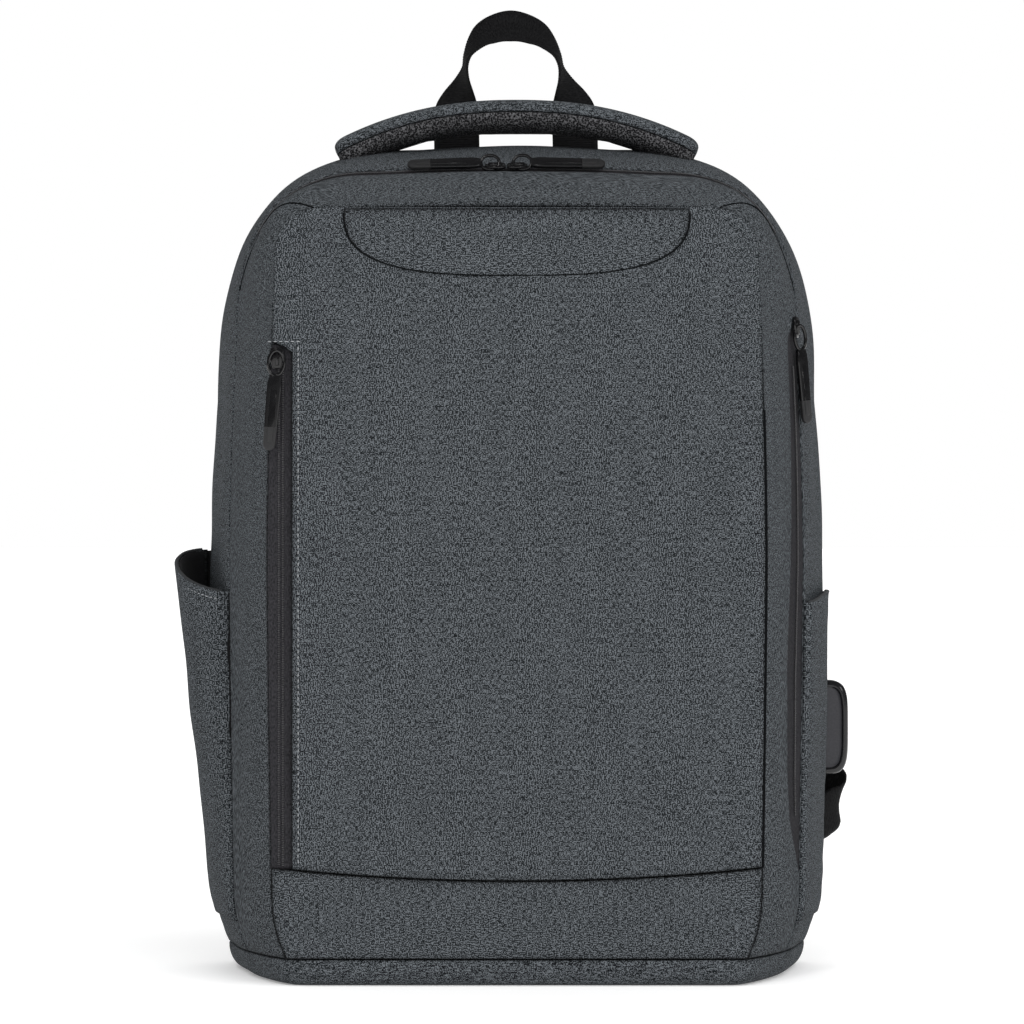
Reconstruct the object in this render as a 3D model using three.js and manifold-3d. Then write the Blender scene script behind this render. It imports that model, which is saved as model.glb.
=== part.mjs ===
// A laptop backpack sewn from flat panels. Millimetres, front towards -Y, +Z up, origin on the floor under the bag.

import * as THREE from 'three';
import { mergeVertices } from 'three/addons/utils/BufferGeometryUtils.js';
import Module from 'manifold-3d';

const wasm = await Module();
wasm.setup();

// Whole body
const BODY_WIDTH = 334;
const BODY_HEIGHT = 444;
const BODY_DEPTH = 147;
const FRONT_REACH = 85;
const GAP = 0.3;

// Walls
const SHELL_WALL = 2.6;
const FRONT_WALL = 2.6;
const YOKE_WALL = 1.5;
const TRAY_WALL = 3;
const POCKET_WALL = 1.6;
const LINING_WALL = 1;
const BACK_EDGE = 4;
const BACK_PAD = 8;

// Body form
const TRAY_RIM = 14;
const CROWN = 2;
const WAIST_HEIGHT = 215;
const SHOULDER_DRAW = 4.6;
const SIDE_TAPER = 3.5;
const FOOT_CURVE = 46;
const FOOT_DRAW = 15;
const CORNER_POWER = 2.6;
const FRONT_BULGE = 7;

// Front panel, band and yoke
const BAND_HEIGHT = 48;
const BAND_SAG = 7;
const YOKE_WIDTH = 180;
const YOKE_HEIGHT = 35;
const YOKE_POWER = 3;

// Zips
const ZIP_TAPE = 10;
const ZIP_SEAM = 37;
const COIL_WIDTH = 5;
const COIL_PLACE = 0.5;
const TAPE_WALL = 1.2;
const TAPE_SINK = 1.2;
const LEFT_ZIP_TOP = 333;
const LEFT_ZIP_WINDOW = 12;

// Pulls and sliders
const PULL_WIDTH = 7.6;
const PULL_LENGTH = 38;
const PULL_THICK = 2.4;
const RING_LENGTH = 15;
const RING_WIDTH = 10;
const RING_WIRE = 1.8;
const SLIDER_LENGTH = 11;
const SLIDER_WIDTH = 8;
const SLIDER_HEIGHT = 3;
const TOP_PULL_SPACING = 17;
const TOP_PULLS_ASIDE = -4;
const LEFT_SLIDER_HEIGHT = 327;
const RIGHT_SLIDER_DOWN = 0.05;
const TOP_RING_TILT = 50;
const LEFT_PULL_LEAN = -5;
const RIGHT_PULL_LEAN = -6;

// Carry handle
const HANDLE_SPAN = 196;
const HANDLE_DROP = 22.4;
const HANDLE_POWER = 2.3;
const HANDLE_THICK = 17;
const HANDLE_DEPTH = 34;
const HANDLE_SETBACK = 22;
const HANDLE_CLEAR = 7;
const HANDLE_SPLIT = 0.55;

// Haul loop
const WEB_WIDTH = 25;
const WEB_THICK = 1.8;
const LOOP_HEIGHT = 75;
const LOOP_WIDTH = 60;
const LOOP_FOOT = 14;

// Side pockets
const POCKET_FOOT = 30;
const LEFT_POCKET_RIM = 208;
const LEFT_POCKET_RISE = 19;
const LEFT_POCKET_BULGE = 19;
const RIGHT_POCKET_RIM = 197;
const RIGHT_POCKET_RISE = 7;
const RIGHT_POCKET_BULGE = 3.2;
const LINING_HEIGHT = 75;

// Charging port
const PORT_HEIGHT = 51;
const PORT_DEPTH = 20;
const PORT_OUT = 14;
const PORT_FOOT = 104;
const PORT_ROUND = 7;
const PORT_BACK = 4;
const PORT_ASIDE = 5.4;
const PORT_BEVEL = 2;

// Shoulder straps
const STRAP_WIDTH = 62;
const STRAP_THICK = 12;
const STRAP_SPREAD = 116;
const STRAP_TOP = 424;
const STRAP_FOOT = 158;
const STRAP_STANDOFF = 24;
const LOCK_WIDTH = 34;
const LOCK_HEIGHT = 26;
const LOCK_THICK = 6;
const ANCHOR_HEIGHT = 84;
const WEB_BOW_RIGHT = 1;
const WEB_BOW_LEFT = 0.72;
const ANCHOR_LENGTH = 24;

// Sections of the body from front to back: depth as a share of the body depth, width and corner width of the half
// width, height and corner height of the body height.
const SECTIONS = [
  { depth: 0, wide: 0.782, high: 0.913, cornerWide: 0.17, cornerHigh: 0.065 },
  { depth: 0.1, wide: 0.835, high: 0.935, cornerWide: 0.24, cornerHigh: 0.1 },
  { depth: 0.25, wide: 0.893, high: 0.957, cornerWide: 0.42, cornerHigh: 0.18 },
  { depth: 0.34, wide: 0.922, high: 0.967, cornerWide: 0.48, cornerHigh: 0.21 },
  { depth: 0.58, wide: 0.97, high: 0.988, cornerWide: 0.6, cornerHigh: 0.27 },
  { depth: 0.8, wide: 1, high: 1, cornerWide: 0.66, cornerHigh: 0.31 },
  { depth: 0.92, wide: 0.995, high: 0.998, cornerWide: 0.66, cornerHigh: 0.31 },
  { depth: 1, wide: 0.965, high: 0.982, cornerWide: 0.63, cornerHigh: 0.3 },
];

// Dents and puffs of the front panel: place and reach as shares of the half width and the height, depth as a share
// of the bulge, inwards where it is positive.
const FRONT_DENTS = [
  { across: 0.9, up: 0.4, wide: 0.16, tall: 0.05, deep: 0.45 },
  { across: 0.86, up: 0.7, wide: 0.07, tall: 0.16, deep: 0.3 },
  { across: 0.45, up: 0.27, wide: 0.35, tall: 0.06, deep: 0.25 },
  { across: -0.4, up: 0.55, wide: 0.3, tall: 0.14, deep: -0.25 },
  { across: 0.35, up: 0.58, wide: 0.25, tall: 0.12, deep: -0.2 },
  { across: -0.8, up: 0.86, wide: 0.1, tall: 0.07, deep: 0.3 },
  { across: 0, up: 0.19, wide: 0.5, tall: 0.03, deep: 0.3 },
];

// The two zips in the seam: where their openings start and end on the way round the outline, and over what stretch
// they open.
const SEAM_ZIPS = [
  { from: -1.75, to: 1.75, taper: 0.12 },
  { from: 1.97, to: 2.9, taper: 0.12 },
];

// Folds of the gussets: place as a share of the way round and of the depth, reach and depth in the same shares,
// the depth of the shell wall.
const GUSSET_FOLDS = [
  { round: -2.35, depth: 0.62, reachRound: 0.5, reachDepth: 0.1, deep: 0.9 },
  { round: -2.2, depth: 0.9, reachRound: 0.6, reachDepth: 0.08, deep: -0.5 },
  { round: 2.3, depth: 0.6, reachRound: 0.5, reachDepth: 0.1, deep: 0.9 },
  { round: -1.5, depth: 0.5, reachRound: 0.2, reachDepth: 0.08, deep: 0.7 },
  { round: 1.5, depth: 0.5, reachRound: 0.2, reachDepth: 0.08, deep: 0.7 },
];

// The haul loop's middle line and the direction of its outer edge: shares of the loop's half width and height, the
// direction as parts towards the outside, the back and up.
const LOOP_ROUTE = [
  { out: 1, up: 0, edgeOut: 1, edgeBack: 0, edgeUp: 0 },
  { out: 1, up: 0.2, edgeOut: 1, edgeBack: 0, edgeUp: 0 },
  { out: 0.98, up: 0.3, edgeOut: 0.9, edgeBack: 0.45, edgeUp: 0 },
  { out: 0.96, up: 0.42, edgeOut: 0.7, edgeBack: 0.7, edgeUp: 0.05 },
  { out: 0.9, up: 0.66, edgeOut: 0.42, edgeBack: 0.86, edgeUp: 0.3 },
  { out: 0.74, up: 0.85, edgeOut: 0.4, edgeBack: 0.66, edgeUp: 0.62 },
  { out: 0.42, up: 0.97, edgeOut: 0.2, edgeBack: 0.6, edgeUp: 0.78 },
  { out: 0, up: 1, edgeOut: 0, edgeBack: 0.58, edgeUp: 0.82 },
];

// The shoulder strap from its top to its foot: the way across as a share of the spread, the distance behind the bag
// as a share of the standoff, height between foot and top, width and thickness shares.
const STRAP_ROUTE = [
  { across: 0.38, behind: 0.2, up: 1, wide: 0.9, thick: 0.6 },
  { across: 0.4, behind: 0.42, up: 0.93, wide: 0.97, thick: 0.9 },
  { across: 0.5, behind: 0.8, up: 0.76, wide: 1, thick: 1 },
  { across: 0.66, behind: 1, up: 0.54, wide: 1, thick: 1 },
  { across: 0.84, behind: 0.92, up: 0.3, wide: 0.92, thick: 1 },
  { across: 0.94, behind: 0.7, up: 0.12, wide: 0.8, thick: 0.9 },
  { across: 1.01, behind: 0.5, up: -0.03, wide: 0.62, thick: 0.6 },
];

// The lower webbing from the ladder lock round the back edge to the side: the way from the strap's foot to the body's
// side, the distance from the back to the lock's face, height between the anchor and the middle of the lock.
const WEB_ROUTE = [
  { across: 0, behind: 1, up: 1 },
  { across: 0.12, behind: 1, up: 0.72 },
  { across: 0.5, behind: 1, up: 0.42 },
  { across: 1.42, behind: 0.42, up: 0.22 },
  { across: 1.55, behind: 0.05, up: 0.12 },
  { across: 1.32, behind: -0.3, up: 0.05 },
  { across: 1.14, behind: -0.55, up: 0 },
];

// Derived places
const HALF_WIDTH = BODY_WIDTH / 2;
const FRONT_Y = -FRONT_REACH;
const BACK_Y = FRONT_Y + BODY_DEPTH;
const WALL_FOOT = TRAY_RIM + GAP;
const ZIP_FRONT = ZIP_SEAM / BODY_DEPTH;
const ZIP_REAR = (ZIP_SEAM + ZIP_TAPE) / BODY_DEPTH;
const POCKET_FRONT = ZIP_REAR + 2 * GAP / BODY_DEPTH;
const POCKET_REAR = 1 - (PORT_BACK + PORT_DEPTH + PORT_ASIDE) / BODY_DEPTH;
const POCKET_COLUMNS = 10;
const POCKET_ROWS = 6;

// Depths at which the outline is drawn
const MAIN_DEPTHS = [ZIP_REAR, 0.4, 0.49, 0.58, 0.69, 0.8, 0.92, 1];
const ALL_DEPTHS = [0, 0.1, ZIP_FRONT, ...MAIN_DEPTHS];

// Small helpers

const mix = THREE.MathUtils.lerp;
const smooth = (x, low, high) => THREE.MathUtils.smoothstep(x, low, high);
const vector = (x, y, z) => new THREE.Vector3(x, y, z);
const evenly = (from, to, steps) => Array.from({ length: steps + 1 }, (_, i) => mix(from, to, i / steps));
const bump = (x, reach) => Math.exp(-((x / reach) ** 2));
const depthY = (depth) => FRONT_Y + depth * BODY_DEPTH;

function finish(name, color, roughness = 0.95, metalness = 0) {
  const material = new THREE.MeshStandardMaterial({ color, roughness, metalness });
  material.name = name;
  return material;
}

const heather = () => finish('heather_cloth', 0x4c5154);
const webbing = () => finish('black_webbing', 0x212123, 0.85);
const tapeCloth = () => finish('zip_tape', 0x313134);
const gloss = () => finish('gloss_black', 0x0d0d0e, 0.2);
const mesh3d = () => finish('spacer_mesh', 0x2c2c2f);
const plastic = () => finish('black_plastic', 0x1d1d20, 0.5);

// A closed solid from points and faces, turned so that its faces point out
function solid(points, faces) {
  let volume = 0;
  for (let i = 0; i < faces.length; i += 3) {
    const [a, b, c] = [points[faces[i]], points[faces[i + 1]], points[faces[i + 2]]];
    volume += a.dot(b.clone().cross(c));
  }
  const geometry = new THREE.BufferGeometry().setFromPoints(points);
  geometry.setIndex(volume > 0 ? faces : faces.slice().reverse());
  return geometry;
}

// A slab between two grids of points
function slab(outer, inner) {
  const rows = outer.length;
  const cols = outer[0].length;
  const at = (side, row, col) => (side * rows + row) * cols + col;
  const faces = [];
  const quad = (a, b, c, d) => faces.push(a, b, c, a, c, d);
  for (let r = 0; r < rows - 1; r += 1) {
    for (let c = 0; c < cols - 1; c += 1) {
      quad(at(0, r, c), at(0, r, c + 1), at(0, r + 1, c + 1), at(0, r + 1, c));
      quad(at(1, r, c), at(1, r + 1, c), at(1, r + 1, c + 1), at(1, r, c + 1));
    }
    quad(at(0, r, 0), at(0, r + 1, 0), at(1, r + 1, 0), at(1, r, 0));
    quad(at(0, r, cols - 1), at(1, r, cols - 1), at(1, r + 1, cols - 1), at(0, r + 1, cols - 1));
  }
  for (let c = 0; c < cols - 1; c += 1) {
    quad(at(0, 0, c), at(1, 0, c), at(1, 0, c + 1), at(0, 0, c + 1));
    quad(at(0, rows - 1, c), at(0, rows - 1, c + 1), at(1, rows - 1, c + 1), at(1, rows - 1, c));
  }
  return solid([...outer.flat(), ...inner.flat()], faces);
}

// A closed body through rings of equally many points, with a flat fan at each end
function loft(rings) {
  const count = rings[0].length;
  const points = rings.flat();
  const faces = [];
  for (let r = 0; r < rings.length - 1; r += 1) {
    for (let i = 0; i < count; i += 1) {
      const next = (i + 1) % count;
      const [a, b] = [r * count + i, r * count + next];
      faces.push(a, b, b + count, a, b + count, a + count);
    }
  }
  const ends = [[0, false], [rings.length - 1, true]];
  for (const [ring, flip] of ends) {
    const middle = points.length;
    const sum = rings[ring].reduce((total, p) => total.add(p), vector(0, 0, 0));
    points.push(sum.divideScalar(count));
    for (let i = 0; i < count; i += 1) {
      const [a, b] = [ring * count + i, ring * count + (i + 1) % count];
      faces.push(...(flip ? [middle, a, b] : [middle, b, a]));
    }
  }
  return solid(points, faces);
}

// A section swept along a curve: the width follows the given direction, the thickness stands square to it
function sweep(curve, steps, widthDirection, section) {
  const rings = evenly(0, 1, steps).map((share) => {
    const tangent = curve.getTangent(share);
    const across = widthDirection(share);
    across.addScaledVector(tangent, -across.dot(tangent)).normalize();
    const up = across.clone().cross(tangent);
    const middle = curve.getPoint(share);
    return section(share).map(([w, t]) => middle.clone().addScaledVector(across, w).addScaledVector(up, t));
  });
  return loft(rings);
}

// A rounded flat section, wide and thick
function padSection(wide, thick, round = 0.5) {
  const corner = thick * round;
  const [w, t] = [wide / 2, thick / 2];
  return [
    [w, t - corner], [w - corner, t], [-w + corner, t], [-w, t - corner],
    [-w, corner - t], [corner - w, -t], [w - corner, -t], [w, corner - t],
  ];
}

// Boolean cut of one closed geometry by others
function toManifold(geometry) {
  const plain = geometry.clone();
  plain.deleteAttribute('normal');
  plain.deleteAttribute('uv');
  const merged = mergeVertices(plain, 1e-4);
  return new wasm.Manifold(new wasm.Mesh({
    numProp: 3,
    vertProperties: Float32Array.from(merged.attributes.position.array),
    triVerts: Uint32Array.from(merged.index.array),
  }));
}

function fromManifold(body) {
  const mesh = body.getMesh();
  const geometry = new THREE.BufferGeometry();
  geometry.setAttribute('position', new THREE.BufferAttribute(mesh.vertProperties, 3));
  geometry.setIndex(new THREE.BufferAttribute(mesh.triVerts, 1));
  return geometry;
}

function cut(geometry, ...tools) {
  return fromManifold(tools.map(toManifold).reduce((body, tool) => body.subtract(tool), toManifold(geometry)));
}

function join(...geometries) {
  return fromManifold(geometries.map(toManifold).reduce((whole, piece) => whole.add(piece)));
}

// Body form

function sectionAt(depth) {
  const last = SECTIONS.findIndex((row) => row.depth >= depth);
  const index = Math.max(last < 0 ? SECTIONS.length - 1 : last, 1);
  const [a, b] = [SECTIONS[index - 1], SECTIONS[index]];
  const share = (depth - a.depth) / (b.depth - a.depth);
  return {
    half: mix(a.wide, b.wide, share) * HALF_WIDTH,
    top: mix(a.high, b.high, share) * BODY_HEIGHT,
    cornerWide: mix(a.cornerWide, b.cornerWide, share) * HALF_WIDTH,
    cornerHigh: mix(a.cornerHigh, b.cornerHigh, share) * BODY_HEIGHT,
  };
}

// How much narrower than the widest a side is at a height: it leans in above the waist and curves in at the foot
function sideDraw(z, cornerFoot) {
  const lean = Math.max((z - WAIST_HEIGHT) / (cornerFoot - WAIST_HEIGHT), 0);
  const taper = (cornerFoot - z) / (cornerFoot - WALL_FOOT);
  const curve = Math.max(FOOT_CURVE - z, 0) / FOOT_CURVE;
  return SHOULDER_DRAW * lean + SIDE_TAPER * taper ** 2 + FOOT_DRAW * curve ** 2;
}

// A point of the body's outline: round is 0 at the crown, 1 and 2 at the ends of a corner and 3 at the foot, with
// the sign of X. An inset of the wall's thickness gives the wall's inner side.
function bodyPoint(depth, round, inset = 0) {
  const section = sectionAt(depth);
  const half = section.half - inset;
  const top = section.top - inset;
  const cornerWide = section.cornerWide - inset;
  const cornerHigh = section.cornerHigh - inset;
  const away = Math.abs(round);
  let x = (half - SHOULDER_DRAW - cornerWide) * Math.min(away, 1);
  let z = top + CROWN * (1 - Math.min(away, 1) ** 2);
  if (away > 1 && away <= 2) {
    const turn = (away - 1) * Math.PI / 2;
    x += cornerWide * Math.sin(turn) ** (2 / CORNER_POWER);
    z = top - cornerHigh * (1 - Math.max(Math.cos(turn), 0) ** (2 / CORNER_POWER));
  } else if (away > 2) {
    z = mix(top - cornerHigh, WALL_FOOT, away - 2);
    x = half - sideDraw(z, top - cornerHigh);
  }
  let fold = 0;
  for (const row of GUSSET_FOLDS) {
    fold += row.deep * SHELL_WALL * bump(round - row.round, row.reachRound) * bump(depth - row.depth, row.reachDepth);
  }
  const edge = smooth(depth, ZIP_REAR, ZIP_REAR + 0.1) * smooth(1 - depth, 0, 0.1);
  const lean = away <= 1 ? 0 : Math.min(away - 1, 1);
  x -= fold * edge * lean;
  return vector(Math.sign(round) * x, depthY(depth), z);
}

// Half width of the body at a height
function edgeAt(depth, z, inset = 0) {
  const section = sectionAt(depth);
  const half = section.half - inset;
  const cornerHigh = section.cornerHigh - inset;
  const cornerWide = section.cornerWide - inset;
  const cornerFoot = section.top - inset - cornerHigh;
  if (z < cornerFoot) return half - sideDraw(z, cornerFoot);
  const rise = Math.min((z - cornerFoot) / cornerHigh, 1);
  return half - SHOULDER_DRAW - cornerWide + cornerWide * (1 - rise ** CORNER_POWER) ** (1 / CORNER_POWER);
}

// Steps round the outline between two places, close together in the corners
function roundSteps(from, to) {
  const half = [...evenly(0, 1, 3), ...evenly(1, 2, 9).slice(1), ...evenly(2, 3, 8).slice(1)];
  const all = [...half.slice(1).reverse().map((r) => -r), ...half];
  const inside = all.filter((r) => r > from + 0.02 && r < to - 0.02);
  return [from, ...inside, to];
}

// A strip of the body's wall between two depths that may change on the way round
function wallStrip(rounds, depthRows, outerInset, wall) {
  const grid = (inset) => rounds.map((round) => depthRows(round).map(
    (depth, row) => bodyPoint(depth, round, outerInset(row) + inset)));
  return slab(grid(0), grid(wall));
}

// Everything within the body's outside, grown by the gap, to seat pieces on it
function bodyEnvelope(clear = GAP) {
  const rounds = roundSteps(-3, 3);
  const ring = (depth) => [
    ...rounds.map((round) => bodyPoint(depth, round, -clear)),
    vector(edgeAt(depth, WALL_FOOT, -clear), depthY(depth), -TRAY_RIM),
    vector(-edgeAt(depth, WALL_FOOT, -clear), depthY(depth), -TRAY_RIM),
  ];
  return loft(ALL_DEPTHS.map(ring));
}

// How far the seam is open for a zip at a place on the way round
function zipOpen(round) {
  const open = SEAM_ZIPS.map(({ from, to, taper }) => Math.min(
    THREE.MathUtils.clamp((round - from) / taper, 0, 1),
    THREE.MathUtils.clamp((to - round) / taper, 0, 1)));
  return Math.max(...open);
}

const SEAM_CLOSED = ZIP_REAR - 2.5 * GAP / BODY_DEPTH;
const seamDepth = (round) => mix(SEAM_CLOSED, ZIP_FRONT, zipOpen(round));

// Front face

const frontBulge = (x, z) => {
  const across = Math.min(Math.abs(x) / sectionAt(0).half, 1);
  const up = Math.min(Math.abs(2 * z / sectionAt(0).top - 1), 1);
  const cushion = (1 - across ** 4) * (1 - up ** 4);
  const dents = FRONT_DENTS.reduce((sum, row) => sum + row.deep
    * bump(x / sectionAt(0).half - row.across, row.wide) * bump(z / BODY_HEIGHT - row.up, row.tall), 0);
  const rim = smooth(1 - across, 0, 0.12) * smooth(1 - up, 0, 0.12);
  return FRONT_BULGE * (cushion - dents * rim);
};
const frontY = (x, z) => FRONT_Y - Math.max(frontBulge(x, z), 0);

// The band's upper seam dips in the middle
const bandSeam = (x) => WALL_FOOT + BAND_HEIGHT - BAND_SAG * (1 - (x / sectionAt(0).half) ** 2);

function frontGrid(rows, columns, outline, offset) {
  return rows.map((row) => columns.map((column) => {
    const [x, z] = outline(row, column);
    return vector(x, frontY(x, z) + offset, z);
  }));
}

function frontSlab(rows, columns, outline, from, wall) {
  return slab(frontGrid(rows, columns, outline, from), frontGrid(rows, columns, outline, from + wall));
}

function frontPanel() {
  const section = sectionAt(0);
  const cornerFoot = section.top - section.cornerHigh;
  const seamEnd = bandSeam(section.half);
  const turns = evenly(0, Math.PI / 2, 5);
  const rows = [
    ...evenly(seamEnd, LEFT_ZIP_TOP, 8),
    ...evenly(LEFT_ZIP_TOP + GAP, cornerFoot, 2),
    ...turns.slice(1).map((turn) => cornerFoot + section.cornerHigh * Math.sin(turn)),
  ];
  const outline = (z, share) => {
    const half = edgeAt(0, z);
    const left = z > LEFT_ZIP_TOP ? -half : LEFT_ZIP_WINDOW - section.half;
    const x = mix(left, half, share);
    const lift = (bandSeam(x) - seamEnd) * (1 - smooth(z, seamEnd, LEFT_ZIP_TOP));
    return [x, z + lift + GAP];
  };
  return frontSlab(rows, evenly(0, 1, 13), outline, 0, FRONT_WALL);
}

function bottomBand() {
  const outline = (share, across) => {
    const x = mix(-1, 1, across) * edgeAt(0, WALL_FOOT + share * BAND_HEIGHT);
    return [x, mix(WALL_FOOT, bandSeam(x) - GAP, share)];
  };
  return frontSlab(evenly(0, 1, 3), evenly(0, 1, 13), outline, 0, FRONT_WALL);
}

function yoke() {
  const top = sectionAt(0).top - GAP;
  const outline = (share, across) => {
    const drop = YOKE_HEIGHT * share;
    const half = YOKE_WIDTH / 2 * Math.max(1 - share ** YOKE_POWER, 0.04) ** (1 / YOKE_POWER);
    return [mix(-half, half, across), top - drop];
  };
  const rows = [0, 0.3, 0.55, 0.75, 0.88, 0.96, 1];
  return frontSlab(rows, evenly(0, 1, 10), outline, -GAP - YOKE_WALL, YOKE_WALL);
}

// Gussets

function frontGusset() {
  const start = (FRONT_WALL + GAP) / BODY_DEPTH;
  const rows = (round) => [start, 0.1, 0.5 * (0.1 + seamDepth(round)), seamDepth(round)];
  const tapers = SEAM_ZIPS.flatMap(({ from, to, taper }) => [from, from + taper, to - taper, to]);
  const rounds = [...new Set([...roundSteps(-3, 3), ...tapers])].sort((a, b) => a - b);
  return wallStrip(rounds, rows, () => 0, SHELL_WALL);
}

const mainGusset = () => wallStrip(roundSteps(-3, 3), () => MAIN_DEPTHS, () => 0, SHELL_WALL);

// The tape of a zip in the seam, with its coil standing up in the middle
function seamZip({ from, to, taper }) {
  const clear = GAP / BODY_DEPTH;
  const coil = COIL_WIDTH / ZIP_TAPE / 2;
  const rows = (round) => {
    const [front, rear] = [seamDepth(round) + clear, ZIP_REAR - clear];
    return [0, 0.5 - coil, 0.5 - coil * 0.7, 0.5 + coil * 0.7, 0.5 + coil, 1].map((share) => mix(front, rear, share));
  };
  const steps = [...new Set([...roundSteps(from, to), from + taper, to - taper])].sort((a, b) => a - b);
  const inset = (row) => (row === 2 || row === 3 ? 0 : TAPE_SINK);
  return wallStrip(steps, rows, inset, TAPE_WALL);
}

// The upright zip in the front panel's left edge
function leftZip() {
  const half = sectionAt(0).half;
  const inner = LEFT_ZIP_WINDOW - half - GAP;
  const foot = bandSeam(-half) + 2 * GAP;
  const heights = evenly(foot, LEFT_ZIP_TOP - GAP, 8);
  const coil = COIL_WIDTH / LEFT_ZIP_WINDOW / 2;
  const shares = [-0.5, -coil, -coil * 0.7, coil * 0.7, coil, 0.5];
  const grid = (extra) => heights.map((z) => shares.map((share, column) => {
    const middle = mix(-edgeAt(0, z), inner, COIL_PLACE);
    const x = column === 0 ? -edgeAt(0, z) : Math.min(middle + share * LEFT_ZIP_WINDOW, inner);
    const sink = column === 2 || column === 3 ? 0 : TAPE_SINK;
    return vector(x, FRONT_Y + sink + extra, z);
  }));
  return slab(grid(0), grid(TAPE_WALL));
}

// Bottom and back

function planRing(inset, z) {
  const cols = evenly(-1, 1, 13);
  const depths = [0.06, ...ALL_DEPTHS.slice(1, -1), 0.97];
  const foot = (depth) => edgeAt(depth, WALL_FOOT);
  const front = cols.map((share) => vector(share * (foot(0) - 1), FRONT_Y, z));
  const right = depths.map((depth) => vector(foot(depth), depthY(depth), z));
  const back = cols.map((share) => vector(-share * (foot(1) - 1), BACK_Y, z));
  const left = depths.slice().reverse().map((depth) => vector(-foot(depth), depthY(depth), z));
  const middle = (FRONT_Y + BACK_Y) / 2;
  return [...front, ...right, ...back, ...left].map((point) => {
    point.x *= 1 - inset / foot(1);
    point.y = middle + (point.y - middle) * (1 - 2 * inset / BODY_DEPTH);
    return point;
  });
}

function bottomPanel() {
  const round = [[0.86, 0], [0.36, 0.16], [0.1, 0.5], [0, 1]];
  const outside = round.map(([inset, up]) => planRing(inset * TRAY_RIM, up * TRAY_RIM));
  const inside = round.map(([inset, up]) => planRing(
    TRAY_WALL + inset * (TRAY_RIM - TRAY_WALL), mix(TRAY_WALL, TRAY_RIM, up)));
  return loft([...outside, ...inside.reverse()]);
}

// How far the back panel's padding stands out, with a channel down the middle
function backPadding(x, z) {
  const section = sectionAt(1);
  const across = Math.abs(x) / section.half;
  const up = Math.abs(2 * z / section.top - 1);
  const channel = 1 - 0.6 * bump(x, WEB_WIDTH / 2);
  return BACK_PAD * (1 - across ** 4) * (1 - up ** 4) * channel;
}

function backShape(extra) {
  const section = sectionAt(1);
  const cornerFoot = section.top - section.cornerHigh;
  const turns = evenly(0, Math.PI / 2, 7).slice(1);
  const heights = [
    ...evenly(WALL_FOOT, cornerFoot, 7),
    ...turns.map((turn) => cornerFoot + section.cornerHigh * Math.sin(turn)),
  ];
  const columns = evenly(-1, 1, 12);
  const grid = (y) => heights.map((z) => columns.map((share) => {
    const x = share * edgeAt(1, z);
    return vector(x, y(x, z), z);
  }));
  return slab(grid((x, z) => BACK_Y + GAP + BACK_EDGE + backPadding(x, z) + extra), grid(() => BACK_Y + GAP));
}

// Side pockets

// A pocket panel on one side: across from its front seam to its rear seam, up from its foot to its rim
function pocketSheet({ side, bulge, rim, rise }, offset, wall, margin = 0, foot = 0) {
  const place = (across, up, out) => {
    const depth = mix(POCKET_FRONT, POCKET_REAR, across);
    const z = mix(POCKET_FOOT, rim + rise * smooth(across, 0.35, 1), up);
    const swell = bulge * Math.max(Math.sin(Math.PI * across), 0) ** 0.6 * up ** 0.9;
    return vector(side * (edgeAt(depth, z) + GAP + swell + out), depthY(depth), z);
  };
  const across = evenly(0, 1, POCKET_COLUMNS).slice(margin, POCKET_COLUMNS + 1 - margin);
  const up = evenly(0, 1, POCKET_ROWS).slice(foot);
  const grid = (out) => up.map((u) => across.map((a) => place(a, u, out)));
  return slab(grid(offset + wall), grid(offset));
}

const LEFT_POCKET = { side: -1, bulge: LEFT_POCKET_BULGE, rim: LEFT_POCKET_RIM, rise: LEFT_POCKET_RISE };
const RIGHT_POCKET = { side: 1, bulge: RIGHT_POCKET_BULGE, rim: RIGHT_POCKET_RIM, rise: RIGHT_POCKET_RISE };

// The lining hangs inside the mouth, on the pocket's own rows and columns
function pocketLining(envelope) {
  const foot = Math.round(POCKET_ROWS * (1 - LINING_HEIGHT / (LEFT_POCKET_RIM - POCKET_FOOT)));
  return cut(pocketSheet(LEFT_POCKET, -GAP - LINING_WALL, LINING_WALL, 1, foot), envelope);
}

// Charging port on the right side behind the pocket

function chargingPort(envelope) {
  const [w, h, r] = [PORT_OUT * 2, PORT_HEIGHT, PORT_ROUND];
  const shape = new THREE.Shape();
  shape.moveTo(0, 0);
  shape.lineTo(w - r, 0);
  shape.absarc(w - r, r, r, -Math.PI / 2, 0, false);
  shape.lineTo(w, h - r);
  shape.absarc(w - r, h - r, r, 0, Math.PI / 2, false);
  shape.lineTo(0, h);
  shape.closePath();
  const geometry = new THREE.ExtrudeGeometry(shape, {
    depth: PORT_DEPTH - 2 * PORT_BEVEL, bevelEnabled: true, bevelSize: PORT_BEVEL, bevelThickness: PORT_BEVEL,
    bevelOffset: -PORT_BEVEL, bevelSegments: 2, curveSegments: 5,
  });
  geometry.rotateX(Math.PI / 2);
  geometry.translate(HALF_WIDTH - PORT_OUT, BACK_Y - PORT_BACK - PORT_BEVEL, PORT_FOOT);
  return cut(geometry, envelope);
}

// Handle

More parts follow.
